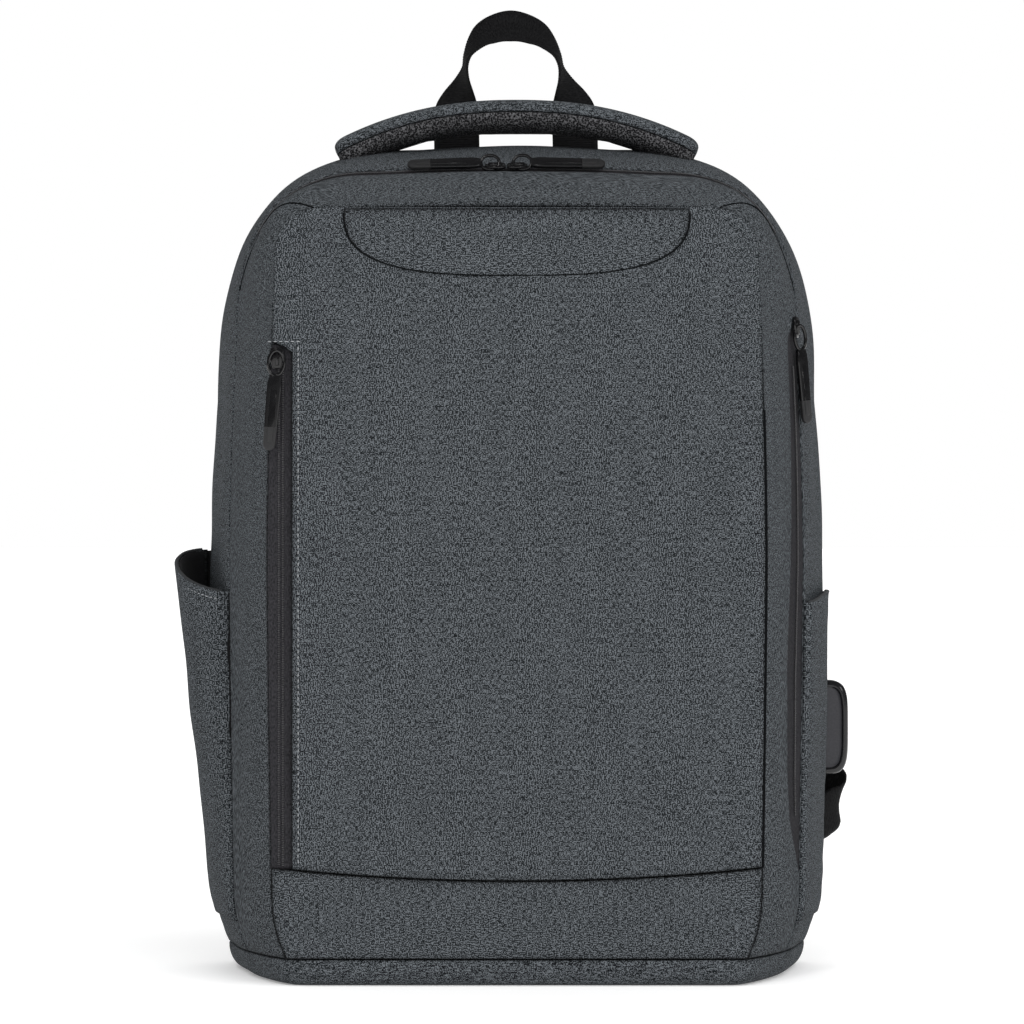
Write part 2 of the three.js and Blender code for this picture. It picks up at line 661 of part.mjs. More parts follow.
function handleParts(envelope) {
  const crest = sectionAt(0.8).top + CROWN + HANDLE_CLEAR + HANDLE_THICK / 2;
  const half = HANDLE_SPAN / 2;
  const route = evenly(-1, 1, 10).map((share) => vector(
    share * half, HANDLE_SETBACK, crest - HANDLE_DROP * Math.abs(share) ** HANDLE_POWER));
  const curve = new THREE.CatmullRomCurve3(route);
  const ends = (share) => 1 - 0.3 * (1 - smooth(Math.min(share, 1 - share), 0, 0.06));
  const top = (share) => {
    const [w, t, split] = [HANDLE_DEPTH / 2 * ends(share), HANDLE_THICK * ends(share), HANDLE_THICK * HANDLE_SPLIT];
    const low = split - HANDLE_THICK / 2 + GAP / 2;
    return [[w, low], [w * 0.9, mix(low, t / 2, 0.55)], [w * 0.62, mix(low, t / 2, 0.9)], [0, t / 2],
      [-w * 0.62, mix(low, t / 2, 0.9)], [-w * 0.9, mix(low, t / 2, 0.55)], [-w, low]];
  };
  const foot = (share) => {
    const [w, t, split] = [HANDLE_DEPTH / 2 * ends(share), HANDLE_THICK * ends(share), HANDLE_THICK * HANDLE_SPLIT];
    const high = split - HANDLE_THICK / 2 - GAP / 2;
    return [[w, high], [-w, high], [-w * 0.94, mix(high, -t / 2, 0.6)], [-w * 0.6, -t / 2], [w * 0.6, -t / 2],
      [w * 0.94, mix(high, -t / 2, 0.6)]];
  };
  const across = () => vector(0, 1, 0);
  const up = (shape) => (share) => shape(share).map(([w, t]) => [w, -t]);
  return {
    top: cut(sweep(curve, 18, across, up(top)), envelope),
    mesh: cut(sweep(curve, 18, across, up(foot)), envelope),
  };
}

// Haul loop of webbing, standing behind the back edge of the top

function haulLoop() {
  const footZ = sectionAt(1).top - LOOP_FOOT;
  const half = LOOP_WIDTH / 2;
  const y = BACK_Y + 2 * GAP + BACK_EDGE + backPadding(half, footZ) + WEB_THICK / 2;
  const rise = LOOP_HEIGHT + LOOP_FOOT;
  const left = LOOP_ROUTE.map((row) => vector(-row.out * half, y, footZ + row.up * rise));
  const right = LOOP_ROUTE.slice(0, -1).reverse().map((row) => vector(row.out * half, y, footZ + row.up * rise));
  const curve = new THREE.CatmullRomCurve3([...left, ...right], false, 'centripetal');
  const edge = (row, side) => vector(side * row.edgeOut, row.edgeBack, row.edgeUp);
  const edges = [
    ...LOOP_ROUTE.map((row) => edge(row, -1)), ...LOOP_ROUTE.slice(0, -1).reverse().map((row) => edge(row, 1))];
  const direction = (share) => {
    const place = share * (edges.length - 1);
    const low = Math.min(Math.floor(place), edges.length - 2);
    return edges[low].clone().lerp(edges[low + 1], place - low);
  };
  return sweep(curve, 28, direction, () => padSection(WEB_WIDTH, WEB_THICK, 0.3));
}

// Shoulder straps, mirrored by the sign of X

function strapCurve(side) {
  return new THREE.CatmullRomCurve3(STRAP_ROUTE.map((row) => vector(
    side * row.across * STRAP_SPREAD,
    BACK_Y + BACK_EDGE + row.behind * STRAP_STANDOFF + STRAP_THICK / 2,
    mix(STRAP_FOOT, STRAP_TOP, row.up))));
}

function readRoute(rows, share, key) {
  const place = share * (rows.length - 1);
  const low = Math.min(Math.floor(place), rows.length - 2);
  return mix(rows[low][key], rows[low + 1][key], place - low);
}

function shoulderStrap(side, seat) {
  const section = (share) => padSection(
    STRAP_WIDTH * readRoute(STRAP_ROUTE, share, 'wide'), STRAP_THICK * readRoute(STRAP_ROUTE, share, 'thick'));
  const below = new THREE.BoxGeometry(BODY_WIDTH * 2, BODY_WIDTH * 2, STRAP_WIDTH);
  below.translate(0, BACK_Y, STRAP_FOOT - STRAP_WIDTH / 2);
  return cut(sweep(strapCurve(side), 16, () => vector(1, 0, 0), section), seat, below);
}

function ladderLock(side) {
  const foot = strapCurve(side).getPoint(1);
  const [w, h] = [LOCK_WIDTH / 2, LOCK_HEIGHT / 2];
  const shape = new THREE.Shape([[-w, -h], [w, -h], [w * 0.88, h], [-w * 0.88, h]].map(([x, z]) => vector(x, z, 0)));
  const bevel = LOCK_THICK / 4;
  const geometry = new THREE.ExtrudeGeometry(shape, {
    depth: LOCK_THICK - 2 * bevel, bevelEnabled: true, bevelSize: bevel, bevelThickness: bevel, bevelOffset: -bevel,
    bevelSegments: 1,
  });
  geometry.rotateX(Math.PI / 2);
  geometry.translate(foot.x, foot.y + LOCK_THICK / 2 - bevel, STRAP_FOOT - LOCK_HEIGHT / 2 - GAP);
  return geometry;
}

function lowerWebbing(side, bow, ...seats) {
  const start = strapCurve(side).getPoint(1);
  const footX = edgeAt(1, ANCHOR_HEIGHT);
  const lockFace = start.y + LOCK_THICK / 2 + GAP + WEB_THICK / 2;
  const top = STRAP_FOOT - LOCK_HEIGHT / 2;
  const curve = new THREE.CatmullRomCurve3(WEB_ROUTE.map((row) => vector(
    side * mix(Math.abs(start.x), footX, row.across > 1 ? 1 + (row.across - 1) * bow : row.across),
    mix(BACK_Y + BACK_EDGE, lockFace, row.behind),
    mix(ANCHOR_HEIGHT, top, row.up))));
  const lock = new THREE.BoxGeometry(LOCK_WIDTH + 2 * GAP, LOCK_THICK + 2 * GAP, LOCK_HEIGHT + 2 * GAP);
  lock.translate(start.x, start.y, STRAP_FOOT - LOCK_HEIGHT / 2 - GAP);
  const lean = (share) => vector(side * mix(0.55, 0.1, share), 0, 1);
  return cut(sweep(curve, 16, lean, () => padSection(WEB_WIDTH, WEB_THICK, 0.3)), lock, ...seats);
}

// The tab on the side that the lower webbing is sewn to
function strapAnchor(side) {
  const heights = evenly(ANCHOR_HEIGHT - WEB_WIDTH * 0.7, ANCHOR_HEIGHT + WEB_WIDTH * 0.7, 2);
  const depths = evenly(1 - ANCHOR_LENGTH / BODY_DEPTH, 1 - GAP / BODY_DEPTH, 4);
  const grid = (out) => heights.map((z) => depths.map((depth) => vector(
    side * (edgeAt(depth, z) + GAP + out), depthY(depth), z)));
  return slab(grid(WEB_THICK), grid(0));
}

// Zip hardware, drawn hanging down from the ring's centre and facing the front

function pullShape(ringTilt = 0) {
  const wire = RING_WIRE / 2;
  const ring = new THREE.TorusGeometry(RING_WIDTH / 2 - wire, wire, 6, 14);
  ring.rotateX(Math.PI / 2);
  ring.scale(1, 1, (RING_LENGTH - RING_WIRE) / (RING_WIDTH - RING_WIRE));
  ring.translate(0, 0, RING_LENGTH / 2);
  ring.rotateX(THREE.MathUtils.degToRad(ringTilt));
  const w = PULL_WIDTH / 2;
  const shape = new THREE.Shape();
  shape.moveTo(-w * 0.8, wire * 1.4);
  shape.lineTo(-w, -w);
  shape.lineTo(-w * 0.85, w - PULL_LENGTH);
  shape.absarc(0, w * 0.85 - PULL_LENGTH, w * 0.85, Math.PI, Math.PI * 2, false);
  shape.lineTo(w, -w);
  shape.lineTo(w * 0.8, wire * 1.4);
  shape.closePath();
  const plate = new THREE.ExtrudeGeometry(shape, {
    depth: PULL_THICK / 2, bevelEnabled: true, bevelSize: PULL_THICK / 4, bevelThickness: PULL_THICK / 4,
    bevelOffset: -PULL_THICK / 4, bevelSegments: 1, curveSegments: 6,
  });
  plate.rotateX(Math.PI / 2);
  plate.translate(0, PULL_THICK / 4, 0);
  return join(ring, plate);
}

function sliderShape() {
  const w = SLIDER_WIDTH / 2;
  const shape = new THREE.Shape();
  shape.moveTo(-w * 0.6, -SLIDER_LENGTH / 2);
  shape.lineTo(w * 0.6, -SLIDER_LENGTH / 2);
  shape.lineTo(w, SLIDER_LENGTH * 0.2);
  shape.lineTo(w * 0.7, SLIDER_LENGTH / 2);
  shape.lineTo(-w * 0.7, SLIDER_LENGTH / 2);
  shape.lineTo(-w, SLIDER_LENGTH * 0.2);
  shape.closePath();
  const bevel = SLIDER_HEIGHT / 4;
  const geometry = new THREE.ExtrudeGeometry(shape, {
    depth: SLIDER_HEIGHT - 2 * bevel, bevelEnabled: true, bevelSize: bevel, bevelThickness: bevel, bevelOffset: -bevel,
    bevelSegments: 1,
  });
  geometry.rotateX(Math.PI / 2);
  geometry.translate(0, -bevel, 0);
  return geometry;
}

// Assembly

const backpack = new THREE.Group();

function add(name, geometry, material) {
  const mesh = new THREE.Mesh(geometry, material);
  mesh.name = name;
  backpack.add(mesh);
  return mesh;
}

// A piece drawn facing the front, set on a surface that faces another way
function seat(name, geometry, at, face, up) {
  const mesh = add(name, geometry, gloss());
  const depthAxis = face.clone().negate().normalize();
  const upAxis = up.clone().addScaledVector(depthAxis, -up.dot(depthAxis)).normalize();
  const acrossAxis = depthAxis.clone().cross(upAxis);
  mesh.position.copy(at);
  mesh.quaternion.setFromRotationMatrix(new THREE.Matrix4().makeBasis(acrossAxis, depthAxis, upAxis));
}

// A slider on its coil, and its pull at its rest height over the coil, leaning by an angle from the zip's line
function zipHardware(label, { at, face, up }, rest, ringTilt, lean, ringOffset) {
  seat(`${label[0]}_zip_slider${label[1]}`, sliderShape(), at.clone().addScaledVector(face, GAP), face, up);
  const leaned = up.clone().applyAxisAngle(face, THREE.MathUtils.degToRad(lean));
  const start = at.clone().addScaledVector(face, rest + GAP + PULL_THICK / 2);
  start.addScaledVector(leaned, ringOffset - RING_LENGTH / 2);
  seat(`${label[0]}_pull${label[1]}`, pullShape(ringTilt), start, face, leaned);
}

// The middle of the seam's coil, with the way out of the bag and the way along the zip
function seamPlace(round, towards) {
  const depth = (ZIP_FRONT + ZIP_REAR) / 2;
  const step = 0.02;
  const along = bodyPoint(depth, round + step).sub(bodyPoint(depth, round - step)).normalize();
  const back = bodyPoint(depth + step, round).sub(bodyPoint(depth - step, round)).normalize();
  return { at: bodyPoint(depth, round), face: along.clone().cross(back), up: along.multiplyScalar(towards) };
}

const envelope = bodyEnvelope();
const sideSeat = bodyEnvelope(2 * GAP + WEB_THICK);
const backSeat = backShape(GAP);

add('front_panel', frontPanel(), heather());
add('yoke', yoke(), heather());
add('bottom_band', bottomBand(), heather());
add('front_gusset', frontGusset(), heather());
add('main_gusset', mainGusset(), heather());
add('bottom_panel', bottomPanel(), heather());
add('back_panel', backShape(0), mesh3d());
add('top_zip_tape', seamZip(SEAM_ZIPS[0]), tapeCloth());
add('right_zip_tape', seamZip(SEAM_ZIPS[1]), tapeCloth());
add('left_zip_tape', leftZip(), tapeCloth());
add('left_pocket', cut(pocketSheet(LEFT_POCKET, 0, POCKET_WALL), envelope), heather());
add('left_pocket_lining', pocketLining(envelope), tapeCloth());
add('right_pocket', cut(pocketSheet(RIGHT_POCKET, 0, POCKET_WALL), envelope), heather());
add('charging_port', chargingPort(envelope), plastic());

const handle = handleParts(envelope);
add('carry_handle_top', handle.top, heather());
add('carry_handle_mesh', handle.mesh, mesh3d());
add('haul_loop', haulLoop(), webbing());

const onSlider = GAP + SLIDER_HEIGHT;
const flatTop = sectionAt((ZIP_FRONT + ZIP_REAR) / 2);
const crownHalf = flatTop.half - SHOULDER_DRAW - flatTop.cornerWide;
for (const [side, label] of [[-1, '_left'], [1, '_right']]) {
  const middle = TOP_PULLS_ASIDE + side * (SLIDER_LENGTH / 2 + GAP);
  const ring = TOP_PULL_SPACING / 2 - SLIDER_LENGTH / 2 - GAP;
  zipHardware(['top', label], seamPlace(middle / crownHalf, -side), 0, TOP_RING_TILT, 0, -ring);
}
zipHardware(['right', ''], seamPlace(SEAM_ZIPS[1].from + RIGHT_SLIDER_DOWN, -1), onSlider, 0, RIGHT_PULL_LEAN, -SLIDER_LENGTH / 2);
const leftCoil = mix(-edgeAt(0, LEFT_SLIDER_HEIGHT), LEFT_ZIP_WINDOW - sectionAt(0).half - GAP, COIL_PLACE);
const leftPlace = { at: vector(leftCoil, FRONT_Y, LEFT_SLIDER_HEIGHT), face: vector(0, -1, 0), up: vector(0, 0, 1) };
zipHardware(['left', ''], leftPlace, onSlider, 0, LEFT_PULL_LEAN, -SLIDER_LENGTH / 4);

for (const [side, label, bow] of [[-1, 'left', WEB_BOW_LEFT], [1, 'right', WEB_BOW_RIGHT]]) {
  add(`strap_${label}`, shoulderStrap(side, backSeat), mesh3d());
  add(`ladder_lock_${label}`, ladderLock(side), plastic());
  add(`strap_webbing_${label}`, lowerWebbing(side, bow, sideSeat, backSeat), webbing());
  add(`strap_anchor_${label}`, cut(strapAnchor(side), envelope), webbing());
}

export default backpack;
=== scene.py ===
# %% [markdown]
# A laptop backpack is sewn from flat panels of heather cloth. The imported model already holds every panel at
# its real size, as plain solids. This lesson dresses each of them: fine cloth that rolls into its seams,
# woven finishes, zip coils, stitches, webbing and padding. Everything is in metres, with the front towards
# -Y and the floor at Z = 0.

import math

import bmesh
import bpy
import numpy as np
from mathutils import Matrix, Vector


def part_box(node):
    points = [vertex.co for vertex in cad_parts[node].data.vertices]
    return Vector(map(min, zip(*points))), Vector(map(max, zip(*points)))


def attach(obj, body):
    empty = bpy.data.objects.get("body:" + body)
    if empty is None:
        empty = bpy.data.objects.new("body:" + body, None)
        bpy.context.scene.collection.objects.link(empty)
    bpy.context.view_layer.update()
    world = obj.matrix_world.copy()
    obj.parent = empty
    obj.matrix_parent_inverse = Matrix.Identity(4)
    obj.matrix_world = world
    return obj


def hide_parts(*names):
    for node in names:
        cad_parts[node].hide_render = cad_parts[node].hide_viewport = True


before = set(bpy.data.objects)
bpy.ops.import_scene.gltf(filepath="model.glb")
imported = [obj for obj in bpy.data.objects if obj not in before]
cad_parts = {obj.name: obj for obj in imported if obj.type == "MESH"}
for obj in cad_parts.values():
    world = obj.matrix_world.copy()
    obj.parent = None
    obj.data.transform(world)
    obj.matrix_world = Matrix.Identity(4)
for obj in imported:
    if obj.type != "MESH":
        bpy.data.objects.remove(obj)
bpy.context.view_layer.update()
MM = 0.001
SIDES = ((-1, "left"), (1, "right"))

# %% [markdown]
# The camera comes first, because every comparison with the photo needs it. A product photo like this one is
# taken from far away with a long lens, so the sides hardly show. The lens is worked out from the size of
# one picture point on the front panel. The light is a white room with three soft lights, which gives the
# gentle shade of a studio. The soft ones don't mirror in the metal. Two small ones do, and they leave sharp
# sparks on it.

# %% Camera, light and floor
PICTURE = 1024
PICTURE_POINT = 0.52 * MM
CAMERA_PLACE = Vector((-0.0025, -2.6, 0.247))
FRONT_FACE = -0.085
SENSOR = 36.0

camera_data = bpy.data.cameras.new("camera")
camera_data.sensor_width = SENSOR
camera_data.lens = SENSOR * (FRONT_FACE - CAMERA_PLACE.y) / (PICTURE * PICTURE_POINT)
camera = bpy.data.objects.new("camera", camera_data)
camera.location = CAMERA_PLACE
camera.rotation_euler = (math.radians(90), 0, 0)
bpy.context.scene.collection.objects.link(camera)
bpy.context.scene.camera = camera
bpy.context.scene.view_settings.view_transform = "Standard"
print("lens:", round(camera_data.lens, 1), "mm")

SOFT_LIGHTS = (
    # name, way the light comes from, width of the light in degrees, strength
    ("key_light", (0.35, -0.80, 0.64), 70, 2.1),
    ("fill_light", (-0.8, -0.7, 0.45), 80, 0.7),
    ("rim_light", (0.1, 0.9, 0.8), 60, 0.8),
    ("spark_left", (-0.25, -0.75, 0.85), 10, 0.34),
    ("spark_right", (0.6, -0.8, 0.35), 10, 0.26),
)
SHARP_LIGHT = 20


def soft_light(name, way, width, strength):
    light = bpy.data.lights.new(name, "SUN")
    light.angle = math.radians(width)
    light.energy = strength
    lamp = bpy.data.objects.new(name, light)
    lamp.rotation_euler = (-Vector(way)).to_track_quat("-Z", "Y").to_euler()
    lamp.visible_glossy = width < SHARP_LIGHT
    bpy.context.scene.collection.objects.link(lamp)


for row in SOFT_LIGHTS:
    soft_light(*row)

ROOM_LIGHT = 0.42
ROOM_MIRRORED = 0.10
world = bpy.data.worlds.new("white_room")
world.use_nodes = True
room = world.node_tree
seen = room.nodes.new("ShaderNodeLightPath")
mirrored = room.nodes.new("ShaderNodeMapRange")
mirrored.inputs["To Min"].default_value = ROOM_LIGHT
mirrored.inputs["To Max"].default_value = ROOM_MIRRORED
room.links.new(seen.outputs["Is Glossy Ray"], mirrored.inputs["Value"])
strength = room.nodes.new("ShaderNodeMapRange")
strength.inputs["To Max"].default_value = 1.0
room.links.new(mirrored.outputs["Result"], strength.inputs["To Min"])
room.links.new(seen.outputs["Is Camera Ray"], strength.inputs["Value"])
room.links.new(strength.outputs["Result"], room.nodes["Background"].inputs["Strength"])
room.nodes["Background"].inputs["Color"].default_value = (1.0, 1.0, 1.0, 1.0)
bpy.context.scene.world = world


def plain_material(name, color, roughness):
    material = bpy.data.materials.new(name)
    material.use_nodes = True
    shader = material.node_tree.nodes["Principled BSDF"]
    shader.inputs["Base Color"].default_value = (*color, 1.0)
    shader.inputs["Roughness"].default_value = roughness
    return material


FLOOR_REACH = 30.0
floor_mesh = bpy.data.meshes.new("floor")
floor_corners = [(x * FLOOR_REACH, y * FLOOR_REACH, 0) for x, y in ((-1, -1), (1, -1), (1, 1), (-1, 1))]
floor_mesh.from_pydata(floor_corners, [], [(0, 1, 2, 3)])
floor = bpy.data.objects.new("floor", floor_mesh)
floor_white = plain_material("floor_white", (0.93, 0.93, 0.93), 1.0)
floor_shader = floor_white.node_tree.nodes["Principled BSDF"]
floor_shader.inputs["Emission Color"].default_value = (1.0, 1.0, 1.0, 1.0)
floor_shader.inputs["Emission Strength"].default_value = 0.22
floor_mesh.materials.append(floor_white)
bpy.context.scene.collection.objects.link(floor)

# %% [markdown]
# Cloth needs a few helpers. The first makes a mesh from a grid of points and stores a map of lengths along
# the cloth, so that the weave has the same scale on every piece. The second works out the rows of a sewn
# panel: where two panels meet, the cloth turns in through a small radius and runs on inwards as the seam
# allowance, and this turn, with painted shade beside it, is what makes a seam read as a fine dark groove.
# The third adds the small waves that no flat-sewn cloth is without.

# %% Cloth helpers
SEAM_RADIUS = 1.1 * MM
SEAM_ALLOWANCE = 2.5 * MM
SEAM_CLEARANCE = 0.15 * MM
CLOTH_THICK = 0.8 * MM
CLOTH_STEP = 3.0 * MM
# Painted shade: how far from a rolled seam the cloth's colour is darkened.
SEAM_SHADE_WIDTH = 0.9 * MM


def add_object(name, mesh, *materials):
    piece = bpy.data.objects.new(name, mesh)
    for material in materials:
        mesh.materials.append(material)
    bpy.context.scene.collection.objects.link(piece)
    return piece


def grid_mesh(name, points, lengths=None, outward=None, closed=False):
    """A mesh of quads through an n by m grid of points, with a map of lengths called weave"""
    rows, columns = points.shape[:2]
    index = np.arange(rows * columns).reshape(rows, columns)
    if closed:
        index = np.concatenate([index, index[:, :1]], axis=1)
    quads = np.stack([index[:-1, :-1], index[1:, :-1], index[1:, 1:], index[:-1, 1:]], axis=-1).reshape(-1, 4)
    if outward is not None:
        i, j = rows // 2, columns // 2
        normal = np.cross(points[i + 1, j] - points[i, j], points[i, j + 1] - points[i, j])
        if np.dot(normal, outward) < 0:
            quads = quads[:, ::-1]
    mesh = bpy.data.meshes.new(name)
    mesh.from_pydata(points.reshape(-1, 3).tolist(), [], quads.tolist())
    mesh.polygons.foreach_set("use_smooth", np.ones(len(quads), bool))
    if lengths is not None:
        weave = mesh.uv_layers.new(name="weave")
        weave.data.foreach_set("uv", lengths.reshape(-1, 2)[quads.reshape(-1)].astype(np.float32).ravel())
    mesh.update()
    return mesh


def all_smooth(mesh):
    mesh.polygons.foreach_set("use_smooth", np.ones(len(mesh.polygons), bool))
    return mesh


def capped_grid(name, points, weave=None, smooth_caps=True, below=math.inf):
    """Closed rings of points, with a flat cap on the first and the last ring where they lie below a height"""
    mesh = grid_mesh(name, points, weave, None, closed=True)
    shape = bmesh.new()
    shape.from_mesh(mesh)
    rims = [edge for edge in shape.edges if edge.is_boundary and edge.verts[0].co.z < below]
    bmesh.ops.holes_fill(shape, edges=rims)
    bmesh.ops.recalc_face_normals(shape, faces=shape.faces)
    shape.to_mesh(mesh)
    shape.free()
    return all_smooth(mesh) if smooth_caps else mesh


def lengths_along(points):
    """How far each point of a line lies from the first one, along the line"""
    return np.concatenate([[0], np.cumsum(np.linalg.norm(np.diff(points, axis=0), axis=-1))])


def cut_lengths(surface, count):
    """Lengths of a surface's two middle lines, from count places each way"""
    share = np.linspace(0, 1, count)
    sample = surface(*np.meshgrid(share, share, indexing="ij"))
    return [lengths_along(line)[-1] for line in (sample[:, count // 2], sample[count // 2])]


def edge_stops(length, step, low, high):
    """Places across a panel of this length and how deep each lies, with a rolled seam at either end"""
    turn = np.linspace(0, math.pi / 2, 5)
    roll_place = SEAM_RADIUS * (1 - np.cos(turn))
    roll_depth = SEAM_RADIUS * (1 - np.sin(turn))
    start = SEAM_RADIUS if low else 0.0
    stop = length - (SEAM_RADIUS if high else 0.0)
    places = np.linspace(start, stop, max(int(round((stop - start) / step)), 2) + 1)
    depths = np.zeros(len(places))
    if low:
        places = np.concatenate([[0], roll_place[:-1], places])
        depths = np.concatenate([[SEAM_RADIUS + SEAM_ALLOWANCE], roll_depth[:-1], depths])
    if high:
        places = np.concatenate([places, length - roll_place[:-1][::-1], [length]])
        depths = np.concatenate([depths, roll_depth[:-1][::-1], [SEAM_RADIUS + SEAM_ALLOWANCE]])
    return places, depths


def waves(points, length, seed, count=10):
    """Smooth uneven waves between about -1 and 1, the same for the same seed"""
    chance = np.random.default_rng(seed)
    total = np.zeros(points.shape[:-1])
    for _ in range(count):
        direction = chance.normal(size=3)
        direction *= 2 * math.pi / length / np.linalg.norm(direction) * chance.uniform(0.6, 1.5)
        total += np.sin(points @ direction + chance.uniform(0, 2 * math.pi))
    return total / math.sqrt(count)


def surface_lengths(points):
    """Lengths along both ways of a grid, from its first row and column"""
    along = np.linalg.norm(np.diff(points, axis=0), axis=-1)
    across = np.linalg.norm(np.diff(points, axis=1), axis=-1)
    u = np.concatenate([np.zeros((1, points.shape[1])), np.cumsum(along, axis=0)])
    v = np.concatenate([np.zeros((points.shape[0], 1)), np.cumsum(across, axis=1)], axis=1)
    return u, v


def across_surface(surface, u, v, reach):
    """The cross product of a surface's two ways at some shares, not yet one unit long"""
    along_u = surface(np.minimum(u + reach, 1), v) - surface(np.maximum(u - reach, 0), v)
    along_v = surface(u, np.minimum(v + reach, 1)) - surface(u, np.maximum(v - reach, 0))
    return np.cross(along_u, along_v)


def sewn_panel(name, surface, material, outward, grain="u", rolls=(True, True, True, True),
               step=CLOTH_STEP, creep=0.35 * MM, seed=1, relief=None, weave=None, dark=(1, 1, 1, 1),
               fade=None, coarse_across=1.0):
    """A cloth panel on a surface of two shares, rolled in at its seams with painted shade beside them, and with
    its weave running along u or v
    """
    length_u, length_v = cut_lengths(surface, 41)
    place_u, depth_u = edge_stops(length_u, step, rolls[0], rolls[1])
    place_v, depth_v = edge_stops(length_v, step, rolls[2], rolls[3])
    share_u, share_v = np.meshgrid(place_u / length_u, place_v / length_v, indexing="ij")
    points = surface(share_u, share_v)
    normal = across_surface(surface, share_u, share_v, 2e-3)
    normal /= np.maximum(np.linalg.norm(normal, axis=-1, keepdims=True), 1e-12)
    if np.sum(normal * np.asarray(outward)) < 0:
        normal = -normal
    to_edge = np.minimum.reduce([
        np.where(rolls[0], place_u, 1.0)[:, None] + 0 * share_v,
        np.where(rolls[1], length_u - place_u, 1.0)[:, None] + 0 * share_v,
        np.where(rolls[2], place_v, 1.0)[None, :] + 0 * share_u,
        np.where(rolls[3], length_v - place_v, 1.0)[None, :] + 0 * share_u])
    calm = np.clip(to_edge / (12 * MM), 0, 1)
    lift = creep * calm * waves(points, 55 * MM, seed)
    lift += 0.22 * MM * np.exp(-((to_edge - 5 * MM) / (4 * MM)) ** 2) * waves(points, 11 * MM, seed + 50)
    if relief is not None:
        lift += relief(points)
    show = np.ones(share_u.shape) if fade is None else fade(points)
    sink = (depth_u[:, None] + depth_v[None, :]) * show
    points = points + normal * (lift - sink)[..., None]
    u, v = surface_lengths(points)
    lengths = np.stack([v, u] if grain == "u" else [u, v], axis=-1) * (coarse_across, 1)
    if weave is not None:
        lengths = weave(surface(share_u, share_v))
    mesh = grid_mesh(name, points, lengths, np.asarray(outward, float))
    # Painted shade: a point attribute that darkens the cloth's colour towards black within about a millimetre
    # of each rolled seam, with a strength for each edge from dark, scaled by fade.
    painted_seam_shade = mesh.attributes.new("painted_seam_shade", "FLOAT", "POINT")
    shade = np.maximum.reduce([
        dark[0] * rolls[0] * np.exp(-(place_u / SEAM_SHADE_WIDTH) ** 2)[:, None] + 0 * share_v,
        dark[1] * rolls[1] * np.exp(-((length_u - place_u) / SEAM_SHADE_WIDTH) ** 2)[:, None] + 0 * share_v,
        dark[2] * rolls[2] * np.exp(-(place_v / SEAM_SHADE_WIDTH) ** 2)[None, :] + 0 * share_u,
        dark[3] * rolls[3] * np.exp(-((length_v - place_v) / SEAM_SHADE_WIDTH) ** 2)[None, :] + 0 * share_u])
    painted_seam_shade.data.foreach_set("value", (shade * show).astype(np.float32).ravel())
    piece = add_object(name, mesh, material)
    thickness = piece.modifiers.new("cloth thickness", "SOLIDIFY")
    thickness.thickness = CLOTH_THICK
    thickness.offset = -1
    print(name, points.shape[:2], "points,", round(length_u, 3), "by", round(length_v, 3), "m")
    return piece


def dress(piece, slot, *nodes):
    """The piece rides on the bag and stands for its CAD nodes, which it hides; slot is not used"""
    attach(piece, "root")
    if nodes:
        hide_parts(*nodes)
    return piece


# %% [markdown]
# The heather cloth is woven from light and dark grey yarn, mostly along one way, so it reads as short
# streaks along the grain with a fine speckle between them. Stretched noises on the weave map make it: long
# thin streaks, a speckle of single threads and faint patches. A thread-sized bump finishes the surface.

# %% Cloth finishes
def new_material(name):
    material = bpy.data.materials.new(name)
    material.use_nodes = True
    nodes, links = material.node_tree.nodes, material.node_tree.links
    return material, nodes, links, nodes["Principled BSDF"]


def cloth_coordinates(nodes, on_object):
    place = nodes.new("ShaderNodeTexCoord") if on_object else nodes.new("ShaderNodeUVMap")
    if not on_object:
        place.uv_map = "weave"
    return place.outputs["Object" if on_object else "UV"]


def stretched_noise(nodes, links, place, scale, detail=2.0, rough=0.5):
    """Noise on the cloth's coordinates, with its own scale each way in cycles to the metre"""
    mapping = nodes.new("ShaderNodeMapping")
    mapping.inputs["Scale"].default_value = scale
    noise = nodes.new("ShaderNodeTexNoise")
    noise.inputs["Scale"].default_value = 1.0
    noise.inputs["Detail"].default_value = detail
    noise.inputs["Roughness"].default_value = rough
    links.new(place, mapping.inputs["Vector"])
    links.new(mapping.outputs["Vector"], noise.inputs["Vector"])
    return noise.outputs["Fac"]


def add_up(nodes, links, parts):
    """A weighted sum of values: parts holds pairs of a socket and its weight"""
    total = None
    for socket, weight in parts:
        step = nodes.new("ShaderNodeMath")
        step.operation = "MULTIPLY_ADD"
        step.inputs[1].default_value = weight
        links.new(socket, step.inputs[0])
        if total is None:
            step.inputs[2].default_value = 0.0
        else:
            links.new(total, step.inputs[2])
        total = step.outputs[0]
    return total


def color_ramp(nodes, links, value, stops):
    ramp = nodes.new("ShaderNodeValToRGB")
    while len(ramp.color_ramp.elements) < len(stops):
        ramp.color_ramp.elements.new(0.5)
    for element, (place, color) in zip(ramp.color_ramp.elements, stops):
        element.position = place
        element.color = (*color, 1.0)
    links.new(value, ramp.inputs["Fac"])
    return ramp.outputs["Color"]


def bump_from(nodes, links, shader, height, distance, strength=0.6):
    bump = nodes.new("ShaderNodeBump")
    bump.inputs["Strength"].default_value = strength
    bump.inputs["Distance"].default_value = distance
    links.new(height, bump.inputs["Height"])
    links.new(bump.outputs["Normal"], shader.inputs["Normal"])


HEATHER_DARK = (0.0044, 0.0054, 0.0062)
HEATHER_MID = (0.0312, 0.0350, 0.0386)
HEATHER_LIGHT = (0.114, 0.125, 0.136)
THREADS_A_METRE = 1900.0
STREAKS_A_METRE = 380.0


